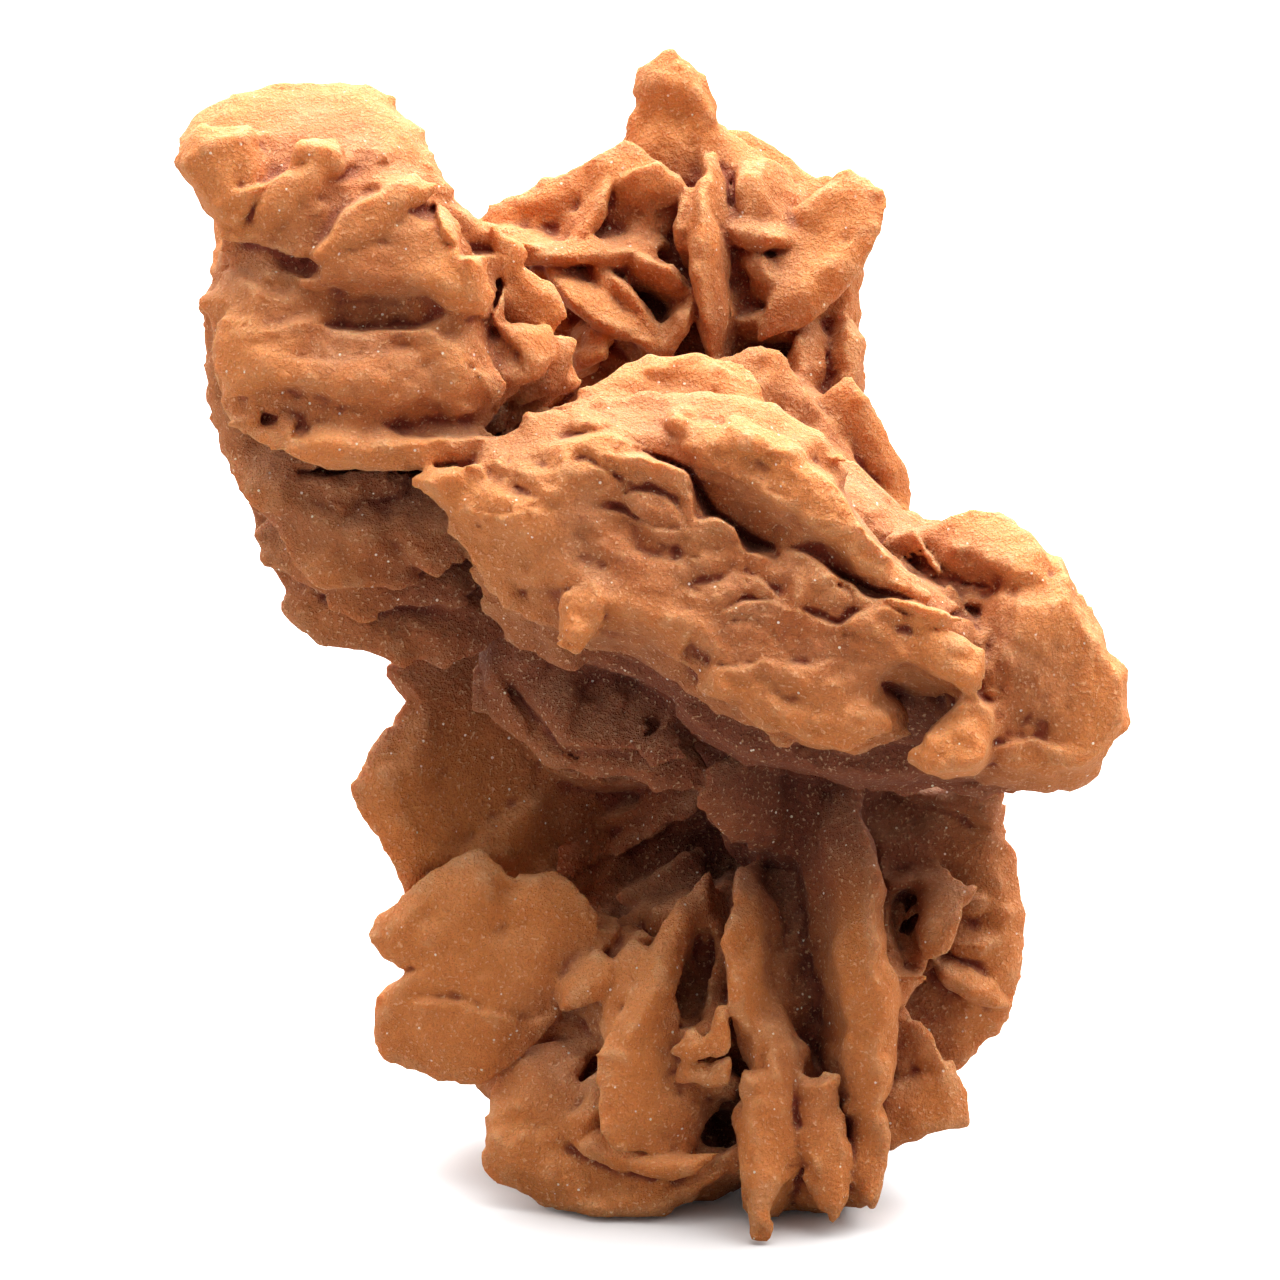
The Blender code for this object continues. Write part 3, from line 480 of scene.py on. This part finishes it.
def blur(field, sigma_cells):
    reach = max(1, int(math.ceil(BLUR_REACH * sigma_cells)))
    weights = np.exp(-0.5 * (np.arange(-reach, reach + 1) / sigma_cells) ** 2)
    weights /= weights.sum()
    for axis in range(field.ndim):
        padding = [(0, 0)] * field.ndim
        padding[axis] = (reach, reach)
        padded = np.pad(field, padding, mode="edge")
        total = np.zeros_like(field)
        for index, weight in enumerate(weights):
            window = [slice(None)] * field.ndim
            window[axis] = slice(index, index + field.shape[axis])
            total += np.float32(weight) * padded[tuple(window)]
        field = total
    return field


def between(table, base, part, wrap):
    """A table's value between its cells, from whole cell numbers and the parts left over."""
    strides = np.cumprod((1,) + table.shape[:0:-1])[::-1]
    flat = table.ravel()
    total = np.zeros(len(base), np.float32)
    for corner in range(2 ** table.ndim):
        weight = np.ones(len(base), np.float32)
        index = np.zeros(len(base), np.int64)
        for axis in range(table.ndim):
            step = (corner >> axis) & 1
            weight *= part[:, axis] if step else 1 - part[:, axis]
            cell = base[:, axis] + step
            index += (cell % table.shape[axis] if wrap else cell) * strides[axis]
        total += weight * flat[index]
    return total


def sample(field, places):
    """The field between its cells, at places given in cells."""
    places = np.clip(places, 0, np.array(field.shape) - 1.001)
    base = places.astype(np.int64)
    return between(field, base, (places - base).astype(np.float32), False)


def noise(places, wavelength, seed):
    """Smooth noise from about -1 to 1, at places in millimetres, in two or three dimensions."""
    size = 64
    table = np.random.default_rng(seed).uniform(-1, 1, (size,) * places.shape[1]).astype(np.float32)
    cells = places / wavelength
    base = np.floor(cells).astype(np.int64)
    part = (cells - base).astype(np.float32)
    return between(table, base, part * part * (3 - 2 * part), True) * NOISE_GAIN


def grid_noise(shape, first, wavelength, seed):
    """The same kind of noise over every cell of a grid, worked out one axis at a time."""
    blends = []
    for count, start in zip(shape, first):
        places = (start + np.arange(count) * VOXEL) / wavelength
        base = np.floor(places).astype(int)
        part = places - base
        part = part * part * (3 - 2 * part)
        base -= base[0]
        blend = np.zeros((count, base[-1] + 2), np.float32)
        blend[np.arange(count), base] = 1 - part
        blend[np.arange(count), base + 1] += part.astype(np.float32)
        blends.append(blend)
    knots = [blend.shape[1] for blend in blends]
    table = np.random.default_rng(seed).uniform(-NOISE_GAIN, NOISE_GAIN, knots).astype(np.float32)
    table = blends[0] @ table.reshape(table.shape[0], -1)
    table = table.reshape(len(blends[0]), -1, blends[2].shape[1])
    table = np.matmul(blends[1], table).reshape(-1, blends[2].shape[1])
    return (table @ blends[2].T).reshape(shape)


def turned(places, degrees):
    """Places on the face in axes that run along and across a direction, degrees up from u."""
    angle = math.radians(degrees)
    along = places[:, 0] * math.cos(angle) + places[:, 1] * math.sin(angle)
    across = -places[:, 0] * math.sin(angle) + places[:, 1] * math.cos(angle)
    return np.stack([along, across], axis=1)


def smoothstep(low, high, value):
    share = np.clip((value - low) / (high - low), 0, 1)
    return share * share * (3 - 2 * share)


def stepped(value, steps):
    """A value from -1 to 1 turned into flat treads with short risers between them."""
    whole = np.floor(value * steps)
    return (whole + smoothstep(*RISER, value * steps - whole)) / steps


def from_line(places, line):
    """Each place's distance from a line of points, positive to its left, and its share of the way along."""
    line = np.array(line)
    steps = np.diff(line, axis=0)
    lengths = np.linalg.norm(steps, axis=1)
    starts = np.concatenate([[0], np.cumsum(lengths)[:-1]])
    nearest = np.full(len(places), np.inf)
    signed = np.zeros(len(places))
    along = np.zeros(len(places))
    for start, step, length, travelled in zip(line, steps, lengths, starts):
        offset = places - start
        share = np.clip(offset @ step / length**2, 0, 1)
        gap = np.linalg.norm(offset - share[:, None] * step, axis=1)
        side = np.where(step[0] * offset[:, 1] - step[1] * offset[:, 0] < 0, -1, 1)
        closer = gap < nearest
        nearest[closer] = gap[closer]
        signed[closer] = (gap * side)[closer]
        along[closer] = (travelled + share * length)[closer]
    return signed, along / lengths.sum()


def mark_height(kind, width, height, line, places):
    """How far one mark raises the face at each place."""
    signed, along = from_line(places, line)
    fade = smoothstep(*FADE_IN, along) * smoothstep(*FADE_OUT, along)
    if height < 0:
        signed, height = -signed, -height
    if kind == "ledge":
        rise = smoothstep(*LEDGE_BRINK, signed) * np.exp(-np.maximum(signed, 0) / (LEDGE_RUN * width))
        foot = np.exp(-((signed + FOOT_OFFSET) / FOOT_WIDTH) ** 2)
        return fade * height * (rise - FOOT_SHARE * foot)
    if kind == "crease":
        hollow = np.exp(-np.maximum(signed, 0) / width)
        lip = LIP_SHARE * np.exp(-np.maximum(-signed, 0) / width)
        return fade * height * (lip + (-hollow - lip) * smoothstep(*CREASE_STEP, signed))
    shape = np.exp(-np.abs(signed / width) ** SECTION_POWER)
    return fade * shape * (height if kind == "ridge" else -height)


def face_relief(shape, first):
    """The relief worked into the broad face, in millimetres, over u and v."""
    u = first[0] + np.arange(shape[0]) * VOXEL
    v = first[1] + np.arange(shape[1]) * VOXEL
    places = np.stack(np.meshgrid(u, v, indexing="ij"), axis=-1).reshape(-1, 2)
    relief = np.zeros(len(places))
    wavered = places.copy()
    for wavelength, amount, seed in STROKE_WAVER:
        for axis in range(2):
            wavered[:, axis] += noise(places, wavelength, seed + 10 * axis) * amount
    for kind, width, height, *line in MARKS.values():
        margin = 4 * width + 1
        inside = np.all(places > np.min(line, axis=0) - margin, axis=1)
        inside &= np.all(places < np.max(line, axis=0) + margin, axis=1)
        relief[inside] += mark_height(kind, width, height, line, wavered[inside])
    for seed, (middle, radii, tilt, direction, layers) in enumerate(STRIATIONS.values()):
        offset = turned(places - np.array(middle), tilt) / np.array(radii)
        weight = smoothstep(*PATCH_EDGE, np.linalg.norm(offset, axis=1))
        inside = weight > 0
        lines = turned(wavered[inside], direction)
        for index, (length, width, height) in enumerate(layers):
            stretched = lines / np.array([length, width])
            waves = noise(stretched, 1.0, STRIATION_SEED + 10 * seed + index)
            relief[inside] += weight[inside] * height * stepped(waves, STRIATION_STEPS)
    return np.clip(relief, -RELIEF_CUT, RELIEF_RISE).reshape(shape[:2]).astype(np.float32)


def inside_outline(places, outline):
    """Distance from a closed outline, negative inside it."""
    signed, _ = from_line(places, (*outline, outline[0]))
    corner, after = np.array(outline), np.roll(np.array(outline), -1, axis=0)
    inside = np.zeros(len(places), bool)
    for (u0, v0), (u1, v1) in zip(corner, after):
        if v0 == v1:
            continue
        crossing = (places[:, 1] < v0) != (places[:, 1] < v1)
        inside ^= crossing & (places[:, 0] < u0 + (places[:, 1] - v0) * (u1 - u0) / (v1 - v0))
    return np.where(inside, -1, 1) * np.abs(signed)


def crystal_window(field, first, crystal, taper):
    """The part of the grid round a flat crystal, and the distance from the crystal there."""
    thickness, (middle_w, rise_u, rise_v), outline = crystal
    reach = thickness / 2 + WINDOW_MARGIN
    middle = np.mean(outline, axis=0)
    low_uv = np.min(outline, axis=0) - WINDOW_MARGIN
    high_uv = np.max(outline, axis=0) + WINDOW_MARGIN
    span = abs(rise_u) * (high_uv[0] - low_uv[0]) / 2 + abs(rise_v) * (high_uv[1] - low_uv[1]) / 2
    low = np.array([*low_uv, middle_w - span - reach])
    high = np.array([*high_uv, middle_w + span + reach])
    start = np.clip(((low - first) / VOXEL).astype(int), 0, np.array(field.shape) - 1)
    stop = np.clip(((high - first) / VOXEL).astype(int) + 1, start + 1, field.shape)
    axes = [first[k] + np.arange(start[k], stop[k]) * VOXEL for k in range(3)]
    places = np.stack(np.meshgrid(axes[0], axes[1], indexing="ij"), axis=-1)
    edge = inside_outline(places.reshape(-1, 2), outline).reshape(places.shape[:2])
    plane = middle_w + (places - middle) @ np.array([rise_u, rise_v])
    off_plane = np.abs(axes[2] - plane[:, :, None]) / math.sqrt(1 + rise_u**2 + rise_v**2)
    distance = np.maximum(edge[:, :, None] * OUTLINE_SLOPE + off_plane * taper, off_plane - thickness / 2)
    return tuple(slice(a, b) for a, b in zip(start, stop)), distance.astype(np.float32)


def grow_small_crystals(field, first):
    """Opens the gaps and crevices in the field and adds the rosette's small crystals to it."""
    for pocket in POCKETS.values():
        window, distance = crystal_window(field, first, pocket, POCKET_TAPER)
        field[window] = np.maximum(field[window], -distance)
    for crystal in ADDED_CRYSTALS.values():
        window, distance = crystal_window(field, first, crystal, CRYSTAL_TAPER)
        field[window] = np.minimum(field[window], distance)


def front_of(field, first):
    """How far out the stone's front stands at each u and v."""
    solid = field < 0
    depth = field.shape[2] - 1 - np.argmax(solid[:, :, ::-1], axis=2)
    front = first[2] + depth * VOXEL
    front[~solid.any(axis=2)] = NO_STONE
    return front.astype(np.float32)


def weather(field, first):
    """The field with worn edges, wavy rims, a worked face and a lumpy surface, flat where it rests."""
    smooth = blur(field, WEAR_SIGMA / VOXEL)
    smooth = smooth * (1 - KEPT_DETAIL) + field * KEPT_DETAIL
    relief = face_relief(field.shape, first)
    front = front_of(field, first)
    near = np.abs(smooth) < REACH
    cells = np.argwhere(near)
    places = cells * VOXEL + first
    moved = cells.astype(np.float32)
    for wavelength, amount, seed in WAVE:
        for axis in range(3):
            warp = grid_noise(field.shape, first, wavelength, seed + 100 * axis)[near]
            moved[:, axis] += warp * (amount / VOXEL)
    distance = sample(smooth, moved) - REGROWTH
    columns = (cells[:, 0], cells[:, 1])
    seen = 1 - smoothstep(*RELIEF_FADE, front[columns] - places[:, 2])
    distance -= relief[columns] * seen
    for wavelength, amount, seed in LUMPS:
        distance -= grid_noise(field.shape, first, wavelength, seed)[near] * amount
    for wavelength, fineness, thickness, seed in CRUST:
        flakes = grid_noise(field.shape, first, wavelength, seed)[near]
        flakes += grid_noise(field.shape, first, wavelength * fineness, seed + 1)[near] * FINE_FLAKES
        distance -= smoothstep(0.0, FLAKE_EDGE, flakes) * thickness
    height = (places @ face_axes() + FACE_ORIGIN)[:, 2]
    distance = np.maximum(distance, -height)
    result = np.where(smooth > 0, np.float32(REACH), np.float32(-REACH))
    result[near] = np.clip(distance, -REACH, REACH)
    return result


def largest_island(points, faces):
    """The points and faces of the largest closed surface alone."""
    ends = np.concatenate([faces[:, [0, 1]], faces[:, [1, 2]], faces[:, [2, 3]]])
    labels = np.arange(len(points))
    while True:
        low = np.minimum(labels[ends[:, 0]], labels[ends[:, 1]])
        joined = labels.copy()
        np.minimum.at(joined, ends[:, 0], low)
        np.minimum.at(joined, ends[:, 1], low)
        joined = joined[joined]
        if np.array_equal(joined, labels):
            break
        labels = joined
    names, counts = np.unique(labels, return_counts=True)
    kept = labels == names[np.argmax(counts)]
    index = np.cumsum(kept) - 1
    return points[kept], index[faces[kept[faces[:, 0]]]]


def mesh_of(field):
    """The field's surface, as points in cells and faces of four corners, the last two equal in a triangle."""
    grid = vdb.FloatGrid(REACH)
    grid.copyFromArray(field)
    points, triangles, quads = grid.convertToPolygons(isovalue=0.0, adaptivity=ADAPTIVITY)
    faces = np.concatenate([triangles[:, [0, 1, 2, 2]], quads]).astype(np.int64)
    return largest_island(points, faces)


def build_mesh(name, points, faces):
    """The stone's mesh, thinned where it is flat until it keeps TRIANGLES."""
    mesh = bpy.data.meshes.new(name)
    corners = [tuple(face[2::-1]) if face[2] == face[3] else tuple(face[::-1]) for face in faces.tolist()]
    mesh.from_pydata(to_part(points.astype(np.float64)).tolist(), [], corners)
    made = bpy.data.objects.new(name, mesh)
    bpy.context.scene.collection.objects.link(made)
    thin = made.modifiers.new("thin", "DECIMATE")
    thin.ratio = min(1.0, TRIANGLES / sum(len(face) - 2 for face in corners))
    graph = bpy.context.evaluated_depsgraph_get()
    made.data = bpy.data.meshes.new_from_object(made.evaluated_get(graph))
    made.modifiers.clear()
    made.data.shade_smooth()
    return made


def corners_of(mesh):
    """The mesh's points on the face, in millimetres."""
    points = np.empty(len(mesh.vertices) * 3, np.float32)
    mesh.vertices.foreach_get("co", points)
    return to_face(points.reshape(-1, 3).astype(np.float64))


def add_attribute(mesh, name, values):
    attribute = mesh.attributes.new(name, "FLOAT", "POINT")
    attribute.data.foreach_set("value", values.astype(np.float32))


def stone_round(field, cells, spread, coarse, above):
    """How much stone lies round each cell, or round a place above it, from 0 at a thin rim to 1 inside."""
    shape = [n // coarse * coarse for n in field.shape]
    solid = (field[: shape[0], : shape[1], : shape[2]] < 0).astype(np.float32)
    blocks = [size for n in shape for size in (n // coarse, coarse)]
    solid = solid.reshape(blocks).mean(axis=(1, 3, 5))
    share = blur(solid, spread / (VOXEL * coarse))
    up = face_axes()[:, 2] * (above / VOXEL)
    return sample(share, (cells + up - (coarse - 1) / 2) / coarse)


class Graph:
    """The nodes of a material or world, added and joined by name."""

    def __init__(self, owner):
        owner.use_nodes = True
        self.owner = owner
        self.tree = owner.node_tree

    def node(self, kind, **settings):
        made = self.tree.nodes.new(kind)
        for key, value in settings.items():
            setattr(made, key, value)
        return made

    def put(self, socket, value):
        if isinstance(value, bpy.types.NodeSocket):
            self.tree.links.new(value, socket)
        elif value is not None:
            socket.default_value = value

    def attribute(self, name):
        return self.node("ShaderNodeAttribute", attribute_name=name).outputs["Fac"]

    def place(self):
        return self.node("ShaderNodeTexCoord").outputs["Object"]

    def noise(self, vector, scale, detail=2.0, roughness=0.55):
        made = self.node("ShaderNodeTexNoise")
        self.put(made.inputs["Vector"], vector)
        self.put(made.inputs["Scale"], scale)
        self.put(made.inputs["Detail"], detail)
        self.put(made.inputs["Roughness"], roughness)
        return made.outputs["Fac"]

    def cells(self, vector, scale):
        made = self.node("ShaderNodeTexVoronoi")
        self.put(made.inputs["Vector"], vector)
        self.put(made.inputs["Scale"], scale)
        return made.outputs

    def ramp(self, value, low, high, out_low=0.0, out_high=1.0):
        made = self.node("ShaderNodeMapRange", interpolation_type="SMOOTHSTEP")
        self.put(made.inputs["Value"], value)
        self.put(made.inputs["From Min"], low)
        self.put(made.inputs["From Max"], high)
        self.put(made.inputs["To Min"], out_low)
        self.put(made.inputs["To Max"], out_high)
        return made.outputs["Result"]

    def math(self, operation, *values):
        made = self.node("ShaderNodeMath", operation=operation)
        for socket, value in zip(made.inputs, values):
            self.put(socket, value)
        return made.outputs[0]

    def mix(self, amount, a, b, blend="MIX"):
        made = self.node("ShaderNodeMix", data_type="RGBA", blend_type=blend)
        self.put(made.inputs["Factor"], amount)
        self.put(made.inputs[6], a)
        self.put(made.inputs[7], b)
        return made.outputs[2]

    def bump(self, height, strength, distance, normal=None):
        made = self.node("ShaderNodeBump")
        self.put(made.inputs["Height"], height)
        self.put(made.inputs["Strength"], strength)
        self.put(made.inputs["Distance"], distance)
        self.put(made.inputs["Normal"], normal)
        return made.outputs["Normal"]


def colour(name):
    """One of the stone's colours, turned from screen values into linear light."""
    screen = STONE_COLOURS[name]
    linear = [((c / 255 + 0.055) / 1.055) ** 2.4 if c > 10 else c / 255 / 12.92 for c in screen]
    return (*linear, 1.0)


def sandy_gypsum():
    """Gypsum full of sand: pale crusts and a painted glow on thin rims, painted shade in creases, hollows,
    under overhangs and on faces turned down, painted light on faces turned up, and painted glints.
    """
    g = Graph(bpy.data.materials.new("sandy_gypsum_stone"))
    surface = g.tree.nodes["Principled BSDF"].inputs
    place = g.place()
    near = g.attribute("near_stone")
    wide = g.attribute("wide_stone")
    roof = g.attribute("roof")
    upward = g.node("ShaderNodeSeparateXYZ")
    g.put(upward.inputs[0], g.node("ShaderNodeTexCoord").outputs["Normal"])
    # How far each face turns up, for painted light above and painted shade below.
    upward_light = g.ramp(upward.outputs["Z"], 0.28, 0.92)

    base = g.mix(g.ramp(g.noise(place, BODY_PATCHES, 3.0), 0.38, 0.62), colour("body"), colour("warm_body"))
    pale = g.ramp(g.noise(place, PALE_PATCHES, 4.0, 0.6), 0.42, 0.70, 0.0, 0.6)
    base = g.mix(pale, base, colour("pale_patch"))
    dark = g.ramp(g.noise(place, DARK_PATCHES, 4.0, 0.65), 0.54, 0.70, 0.0, 0.6)
    base = g.mix(dark, base, colour("dark_patch"))
    # Painted glow: thin rims with little stone round them are painted paler orange, as if lit through.
    base = g.mix(g.ramp(wide, 0.44, 0.24, 0.0, 0.85), base, colour("thin_rim_glow"))
    patches = g.ramp(g.noise(place, CRUST_PATCHES, 3.0), 0.42, 0.60)
    crust = g.math("MULTIPLY", g.ramp(near, 0.46, 0.34), patches)
    base = g.mix(g.math("MULTIPLY", crust, 0.5), base, colour("crust"))

    # Painted shade: creases, where much stone lies close round, are darkened to deep orange-brown.
    base = g.mix(g.ramp(near, 0.56, 0.72), base, colour("crease"))
    # Painted shade under overhangs: the more stone stands above a place, the darker it is painted.
    roof_shade = g.ramp(roof, 0.10, 0.75)
    # Painted shade: places deep among the stone, more so under an overhang, are darkened to a deep brown.
    hollow = g.math("MULTIPLY", g.ramp(wide, 0.48, 0.70), g.math("MULTIPLY_ADD", roof_shade, 0.6, 0.4))
    base = g.mix(hollow, base, colour("hollow"))
    base = g.mix(g.math("MULTIPLY", roof_shade, 0.85), base, colour("sheltered_shade"))
    # Painted light on faces turned up and painted shade on faces turned down, as light falls from above.
    base = g.mix(g.math("MULTIPLY", upward_light, 0.20), base, colour("upper_side_light"))
    base = g.mix(upward_light, g.mix(1.0, base, UNDERSIDE_SHADE, "MULTIPLY"), base)

    grain = g.noise(place, SAND_GRAINS, 2.0, 0.6)
    base = g.mix(g.ramp(grain, 0.58, 0.70, 0.0, 0.35), base, colour("pale_grain"))
    base = g.mix(g.ramp(grain, 0.42, 0.32, 0.0, 0.35), base, colour("dark_grain"))
    # Painted glints: a few tiny sand facets are painted near white as sparkles of light.
    facets = g.cells(place, SAND_GRAINS)
    pick = g.node("ShaderNodeSeparateColor")
    g.put(pick.inputs["Color"], facets["Color"])
    few = g.ramp(pick.outputs["Blue"], 0.990, 0.993)
    painted_glint = g.math("MULTIPLY", few, g.ramp(facets["Distance"], 0.42, 0.30))
    base = g.mix(g.math("MULTIPLY", painted_glint, 0.8), base, colour("painted_glint"))

    g.put(surface["Base Color"], base)
    g.put(surface["Roughness"], 0.8)
    g.put(surface["Subsurface Weight"], SCATTER_SHARE)
    g.put(surface["Subsurface Radius"], SCATTER_BY_COLOUR)
    g.put(surface["Subsurface Scale"], SCATTER_DEPTH)
    raised_grains = g.math("MULTIPLY", g.ramp(grain, 0.45, 0.62), 0.35)
    grit = g.math("ADD", g.noise(place, GRIT, 3.0, 0.7), raised_grains)
    g.put(surface["Normal"], g.bump(grit, 1.0, GRIT_DEPTH))
    return g.owner


def add_world():
    """A white studio that is brightest above and behind the stone."""
    g = Graph(bpy.data.worlds.new("studio"))
    direction = g.node("ShaderNodeTexCoord").outputs["Generated"]
    strength = WORLD_EVEN
    for towards, sharpness, share in WORLD_LOBES:
        facing = g.node("ShaderNodeVectorMath", operation="DOT_PRODUCT")
        g.put(facing.inputs[0], direction)
        g.put(facing.inputs[1], Vector(towards).normalized())
        lobe = g.math("POWER", g.math("MAXIMUM", facing.outputs["Value"], 0.0), sharpness)
        strength = g.math("ADD", g.math("MULTIPLY", lobe, share), strength)
    background = g.tree.nodes["Background"]
    g.put(background.inputs["Color"], (1.0, 1.0, 1.0, 1.0))
    g.put(background.inputs["Strength"], strength)
    bpy.context.scene.world = g.owner


def add_floor():
    """A pale floor that looks white and throws little light back up."""
    bpy.ops.mesh.primitive_circle_add(vertices=FLOOR_SIDES, radius=FLOOR_RADIUS, fill_type="NGON")
    floor = bpy.context.object
    floor.name = "floor"
    floor.location = (0.0, 0.0, -FLOOR_DROP)
    g = Graph(bpy.data.materials.new("pale_floor"))
    surface = g.tree.nodes["Principled BSDF"].inputs
    looked_at = g.node("ShaderNodeLightPath").outputs["Is Camera Ray"]
    greys = [(shade, shade, shade, 1.0) for shade in (FLOOR_BOUNCE, FLOOR_SEEN)]
    g.put(surface["Base Color"], g.mix(looked_at, *greys))
    g.put(surface["Roughness"], 0.9)
    floor.data.materials.append(g.owner)


def add_studio():
    bpy.context.scene.view_settings.view_transform = "Standard"
    add_world()
    add_floor()


def add_camera():
    camera = bpy.data.cameras.new("camera")
    camera.sensor_width = SENSOR_WIDTH
    camera.lens = SENSOR_WIDTH * VIEW_DISTANCE / VIEW_WIDTH
    camera.clip_start = CLIP_START
    camera.clip_end = CLIP_END
    eye = bpy.data.objects.new("camera", camera)
    bpy.context.scene.collection.objects.link(eye)
    centre = np.array(VIEW_CENTRE)
    place = Vector(to_part(centre + np.array([0.0, 0.0, VIEW_DISTANCE])))
    aim = Vector(to_part(centre))
    eye.location = place
    eye.rotation_euler = (aim - place).to_track_quat("-Z", "Y").to_euler()
    bpy.context.scene.camera = eye


def main():
    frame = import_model()
    points, triangles = read_solid(frame["nodes"][NODE])
    field, first = distance_field(points, triangles)
    grow_small_crystals(field, first)
    field = weather(field, first)
    cells, faces = mesh_of(field)
    stone = build_mesh("weathered_cluster", cells * VOXEL + first, faces)
    cells = (corners_of(stone.data) - first) / VOXEL
    for name, measure in SURROUNDINGS.items():
        add_attribute(stone.data, name, stone_round(field, cells, *measure))
    stone.data.materials.append(sandy_gypsum())
    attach(stone, "root")
    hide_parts(NODE)
    add_studio()
    add_camera()


main()
